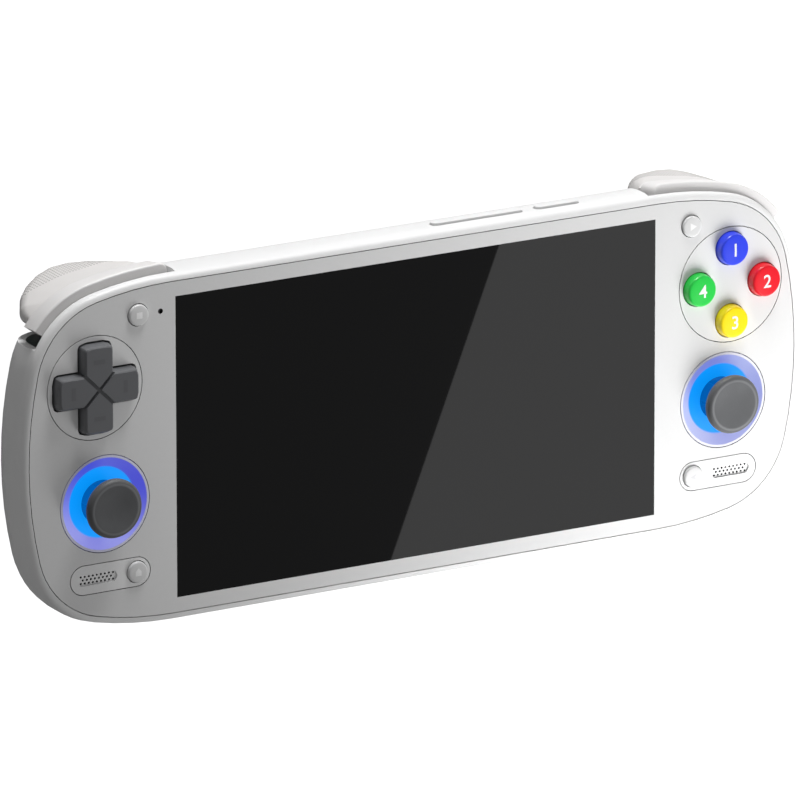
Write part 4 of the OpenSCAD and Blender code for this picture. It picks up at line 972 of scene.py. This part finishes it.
class CONSOLE_OT_menu_buttons(ConsoleOperator, bpy.types.Operator):
    """Smooths the menu buttons and lays a plain mark on each"""

    bl_idname = "console.menu_buttons"
    bl_label = "Menu buttons"

    def execute(self, context):
        grey = moulded_plastic("mark_grey", (0.62, 0.62, 0.63), 0.4, 1800.0, 0.000005)
        white = moulded_plastic("mark_white", (0.95, 0.95, 0.95), 0.3, 1800.0, 0.000005)
        key = moulded_plastic("menu_key", (0.73, 0.73, 0.73), 0.36, 3800.0, 0.000012)
        marks = {
            "select_button": ([(-0.8, -0.8), (0.8, -0.8), (0.8, 0.8), (-0.8, 0.8)], white),
            "start_button": ([(-0.7, -1.0), (1.1, 0.0), (-0.7, 1.0)], white),
            "home_button": ([(-0.8, -0.9), (0.8, -0.9), (0.8, 0.2), (0.0, 1.1), (-0.8, 0.2)], white),
            "back_button": ([(0.8, -0.9), (0.2, 0.0), (0.8, 0.9), (-1.1, 0.0)], grey),
        }
        unit = self.sizes(context).mark_size
        for node, (points, material) in marks.items():
            finished_copy(node, key, 40.0)
            mesh = polygon_mesh(node + "_mark", [(x * unit, y * unit) for x, y in points])
            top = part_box(node)[1].z
            inlay(node + "_mark", mesh, middle(node), top, MENU_CROWN, material, body_of(node))
        return {"FINISHED"}


class CONSOLE_OT_sticks(ConsoleOperator, bpy.types.Operator):
    """Smooths the stick caps, levers and light rings"""

    bl_idname = "console.sticks"
    bl_label = "Sticks"

    def execute(self, context):
        for side in SIDES:
            cap = side + "_stick_cap"
            low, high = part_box(cap)
            rim = (high.x - low.x) / 2 - self.sizes(context).cap_highlight_inset
            skin = cap_rubber(cap + "_skin", self.colours(context).cap_grey, (low + high) / 2, rim)
            finished_copy(cap, skin, 32.0)
            finished_copy(side + "_stick_lever", finish(side + "_painted_shade_glow_plastic"))
            finished_copy(side + "_light_ring", finish(side + "_light_ring"), 30.0)
        return {"FINISHED"}


class CONSOLE_OT_shoulder_buttons(ConsoleOperator, bpy.types.Operator):
    """Smooths bumpers and triggers and sets grip dots on the triggers"""

    bl_idname = "console.shoulder_buttons"
    bl_label = "Shoulder buttons"

    def execute(self, context):
        sizes = self.sizes(context)
        grey = finish("grey_plastic")
        pale = moulded_plastic("bumper_grey", self.colours(context).bumper_grey, 0.42, 3000.0, 0.00002)
        # The grip dots are a darker grey than the trigger
        toned = moulded_plastic("dot_grey", (0.46, 0.45, 0.44), 0.5, 3000.0, 0.00001)
        tree = grip_dot_tree()
        for side in SIDES:
            finished_copy(side + "_bumper", pale, 50.0, sizes.bumper_edge, 62.0, 4)
            finished_copy(side + "_trigger", grey, 60.0)
            self.add_dots(sizes, tree, side + "_trigger", toned)
        return {"FINISHED"}

    def add_dots(self, sizes, tree, node, material):
        """Grip dots on the back half of a trigger, clear of its ends."""
        low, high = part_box(node)
        width = (high.x - low.x) * DOTS_WIDTH
        depth = (high.z - low.z) * DOTS_DEPTH
        outward = math.copysign(DOTS_OUTWARD, low.x)
        place = ((low.x + high.x) / 2 + outward, high.y + DOTS_DROP, low.z + depth / 2 + DOTS_RAISE)
        dots = grown_mesh(node + "_dots", merged_mesh(node, node + "_target"), tree, {
            "Middle": place, "Width": width, "Depth": depth,
            "Columns": int(width / sizes.dot_pitch), "Rows": int(depth / sizes.dot_pitch),
            "Dot radius": sizes.dot_radius, "Dot height": sizes.dot_height, "Material": material})
        new_piece(node + "_dots", dots, body_of(node), material)


class CONSOLE_OT_stage(ConsoleOperator, bpy.types.Operator):
    """Adds the floor, the studio light and the camera"""

    bl_idname = "console.stage"
    bl_label = "Stage"

    def execute(self, context):
        self.add_floor(context)
        self.add_world(context)
        self.add_lights(context)
        self.add_camera(context)
        return {"FINISHED"}

    def add_floor(self, context):
        half = FLOOR_HALF
        mesh = polygon_mesh("floor", [(-half, -half), (half, -half), (half, half), (-half, half)])
        mesh.transform(Matrix.Translation((0, 0, CAD_BOX[0].z - FLOOR_GAP)))
        floor = bpy.data.objects.new("floor", mesh)
        context.scene.collection.objects.link(floor)

        def vary(spot):
            seen = spot.node("ShaderNodeLightPath", output="Is Camera Ray")
            return {
                "Base Color": spot.noise(3.0, 2.0).mix((0.53, 0.53, 0.53, 1.0), (0.57, 0.57, 0.57, 1.0)),
                "Emission Color": seen.mix((0.0, 0.0, 0.0, 1.0), (0.95, 0.95, 0.95, 1.0)),
            }
        fixed = {"Roughness": 0.9, "Emission Strength": 1.0}
        coat(floor, new_material("floor_paper", vary, fixed))

    def add_world(self, context):
        world = bpy.data.worlds.new("studio")
        world.use_nodes = True
        sky = next(n for n in world.node_tree.nodes if n.type == "BACKGROUND")
        sky.inputs["Color"].default_value = (1.0, 1.0, 1.0, 1.0)
        sky.inputs["Strength"].default_value = STUDIO_LIGHT
        context.scene.world = world
        context.scene.view_settings.view_transform = "Standard"

    def add_lights(self, context):
        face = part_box("front_glass")[1].z
        # The card's left edge mirrors in the screen as the slanted edge of the glare
        self.add_area(
            context, "glare_card", place=(0.3445, -0.1917, face + 0.5), facing=(0, 0, -1),
            along=(0.375, 0.927, 0), width=0.10, length=0.17, power=0.066)
        # The key light lifts the right half and leaves no glint on the buttons
        key = self.add_area(
            context, "key", place=(0.17, -0.17, 0.14), facing=(-0.07, 0.14, -0.125),
            along=(0, 1, 0), width=0.16, length=0.16, power=0.23, spread=72)
        key.visible_glossy = False
        self.add_area(
            context, "top", place=(0.05, 0.5, 0.07), facing=(-0.05, -0.5, -0.06),
            along=(1, 0, 0), width=0.2, length=0.15, power=2.4)

    def add_area(self, context, name, place, facing, along, width, length, power, spread=180):
        """An area light whose local Y runs along a direction and that shines along facing."""
        light = bpy.data.lights.new(name, "AREA")
        light.shape = "RECTANGLE"
        light.size = width
        light.size_y = length
        light.energy = power
        light.spread = math.radians(spread)
        back = -Vector(facing).normalized()
        up = Vector(along)
        up = (up - back * up.dot(back)).normalized()
        side = up.cross(back)
        turn = Matrix((side, up, back)).transposed().to_4x4()
        obj = bpy.data.objects.new(name, light)
        obj.matrix_world = Matrix.Translation(place) @ turn
        obj.visible_camera = False
        context.scene.collection.objects.link(obj)
        return obj

    def add_camera(self, context):
        camera = bpy.data.cameras.new("camera")
        camera.sensor_width = 36.0
        camera.lens = CAMERA_LENS
        camera.clip_end = 100.0
        obj = bpy.data.objects.new("camera", camera)
        obj.location = CAMERA_PLACE
        obj.rotation_euler = [math.radians(angle) for angle in CAMERA_TURN]
        context.scene.collection.objects.link(obj)
        context.scene.camera = obj


class CONSOLE_PT_steps(bpy.types.Panel):
    """Lists the steps that dress the console"""

    bl_idname = "CONSOLE_PT_steps"
    bl_label = "Console"
    bl_space_type = "VIEW_3D"
    bl_region_type = "UI"
    bl_category = "Console"

    def draw(self, context):
        for step in OPERATORS:
            self.layout.operator(step.bl_idname)


OPERATORS = (
    CONSOLE_OT_finishes,
    CONSOLE_OT_case,
    CONSOLE_OT_direction_pad,
    CONSOLE_OT_face_buttons,
    CONSOLE_OT_menu_buttons,
    CONSOLE_OT_sticks,
    CONSOLE_OT_shoulder_buttons,
    CONSOLE_OT_stage,
)
CLASSES = (ConsoleSizes, ConsoleColours) + OPERATORS + (CONSOLE_PT_steps,)


def register():
    for cls in CLASSES:
        bpy.utils.register_class(cls)
    bpy.types.Scene.console_sizes = bpy.props.PointerProperty(type=ConsoleSizes)
    bpy.types.Scene.console_colours = bpy.props.PointerProperty(type=ConsoleColours)


def unregister():
    del bpy.types.Scene.console_colours
    del bpy.types.Scene.console_sizes
    for cls in reversed(CLASSES):
        bpy.utils.unregister_class(cls)


def main():
    register()
    bpy.ops.console.finishes()
    bpy.ops.console.case()
    bpy.ops.console.direction_pad()
    bpy.ops.console.face_buttons()
    bpy.ops.console.menu_buttons()
    bpy.ops.console.sticks()
    bpy.ops.console.shoulder_buttons()
    bpy.ops.console.stage()


if __name__ == "__main__":
    main()
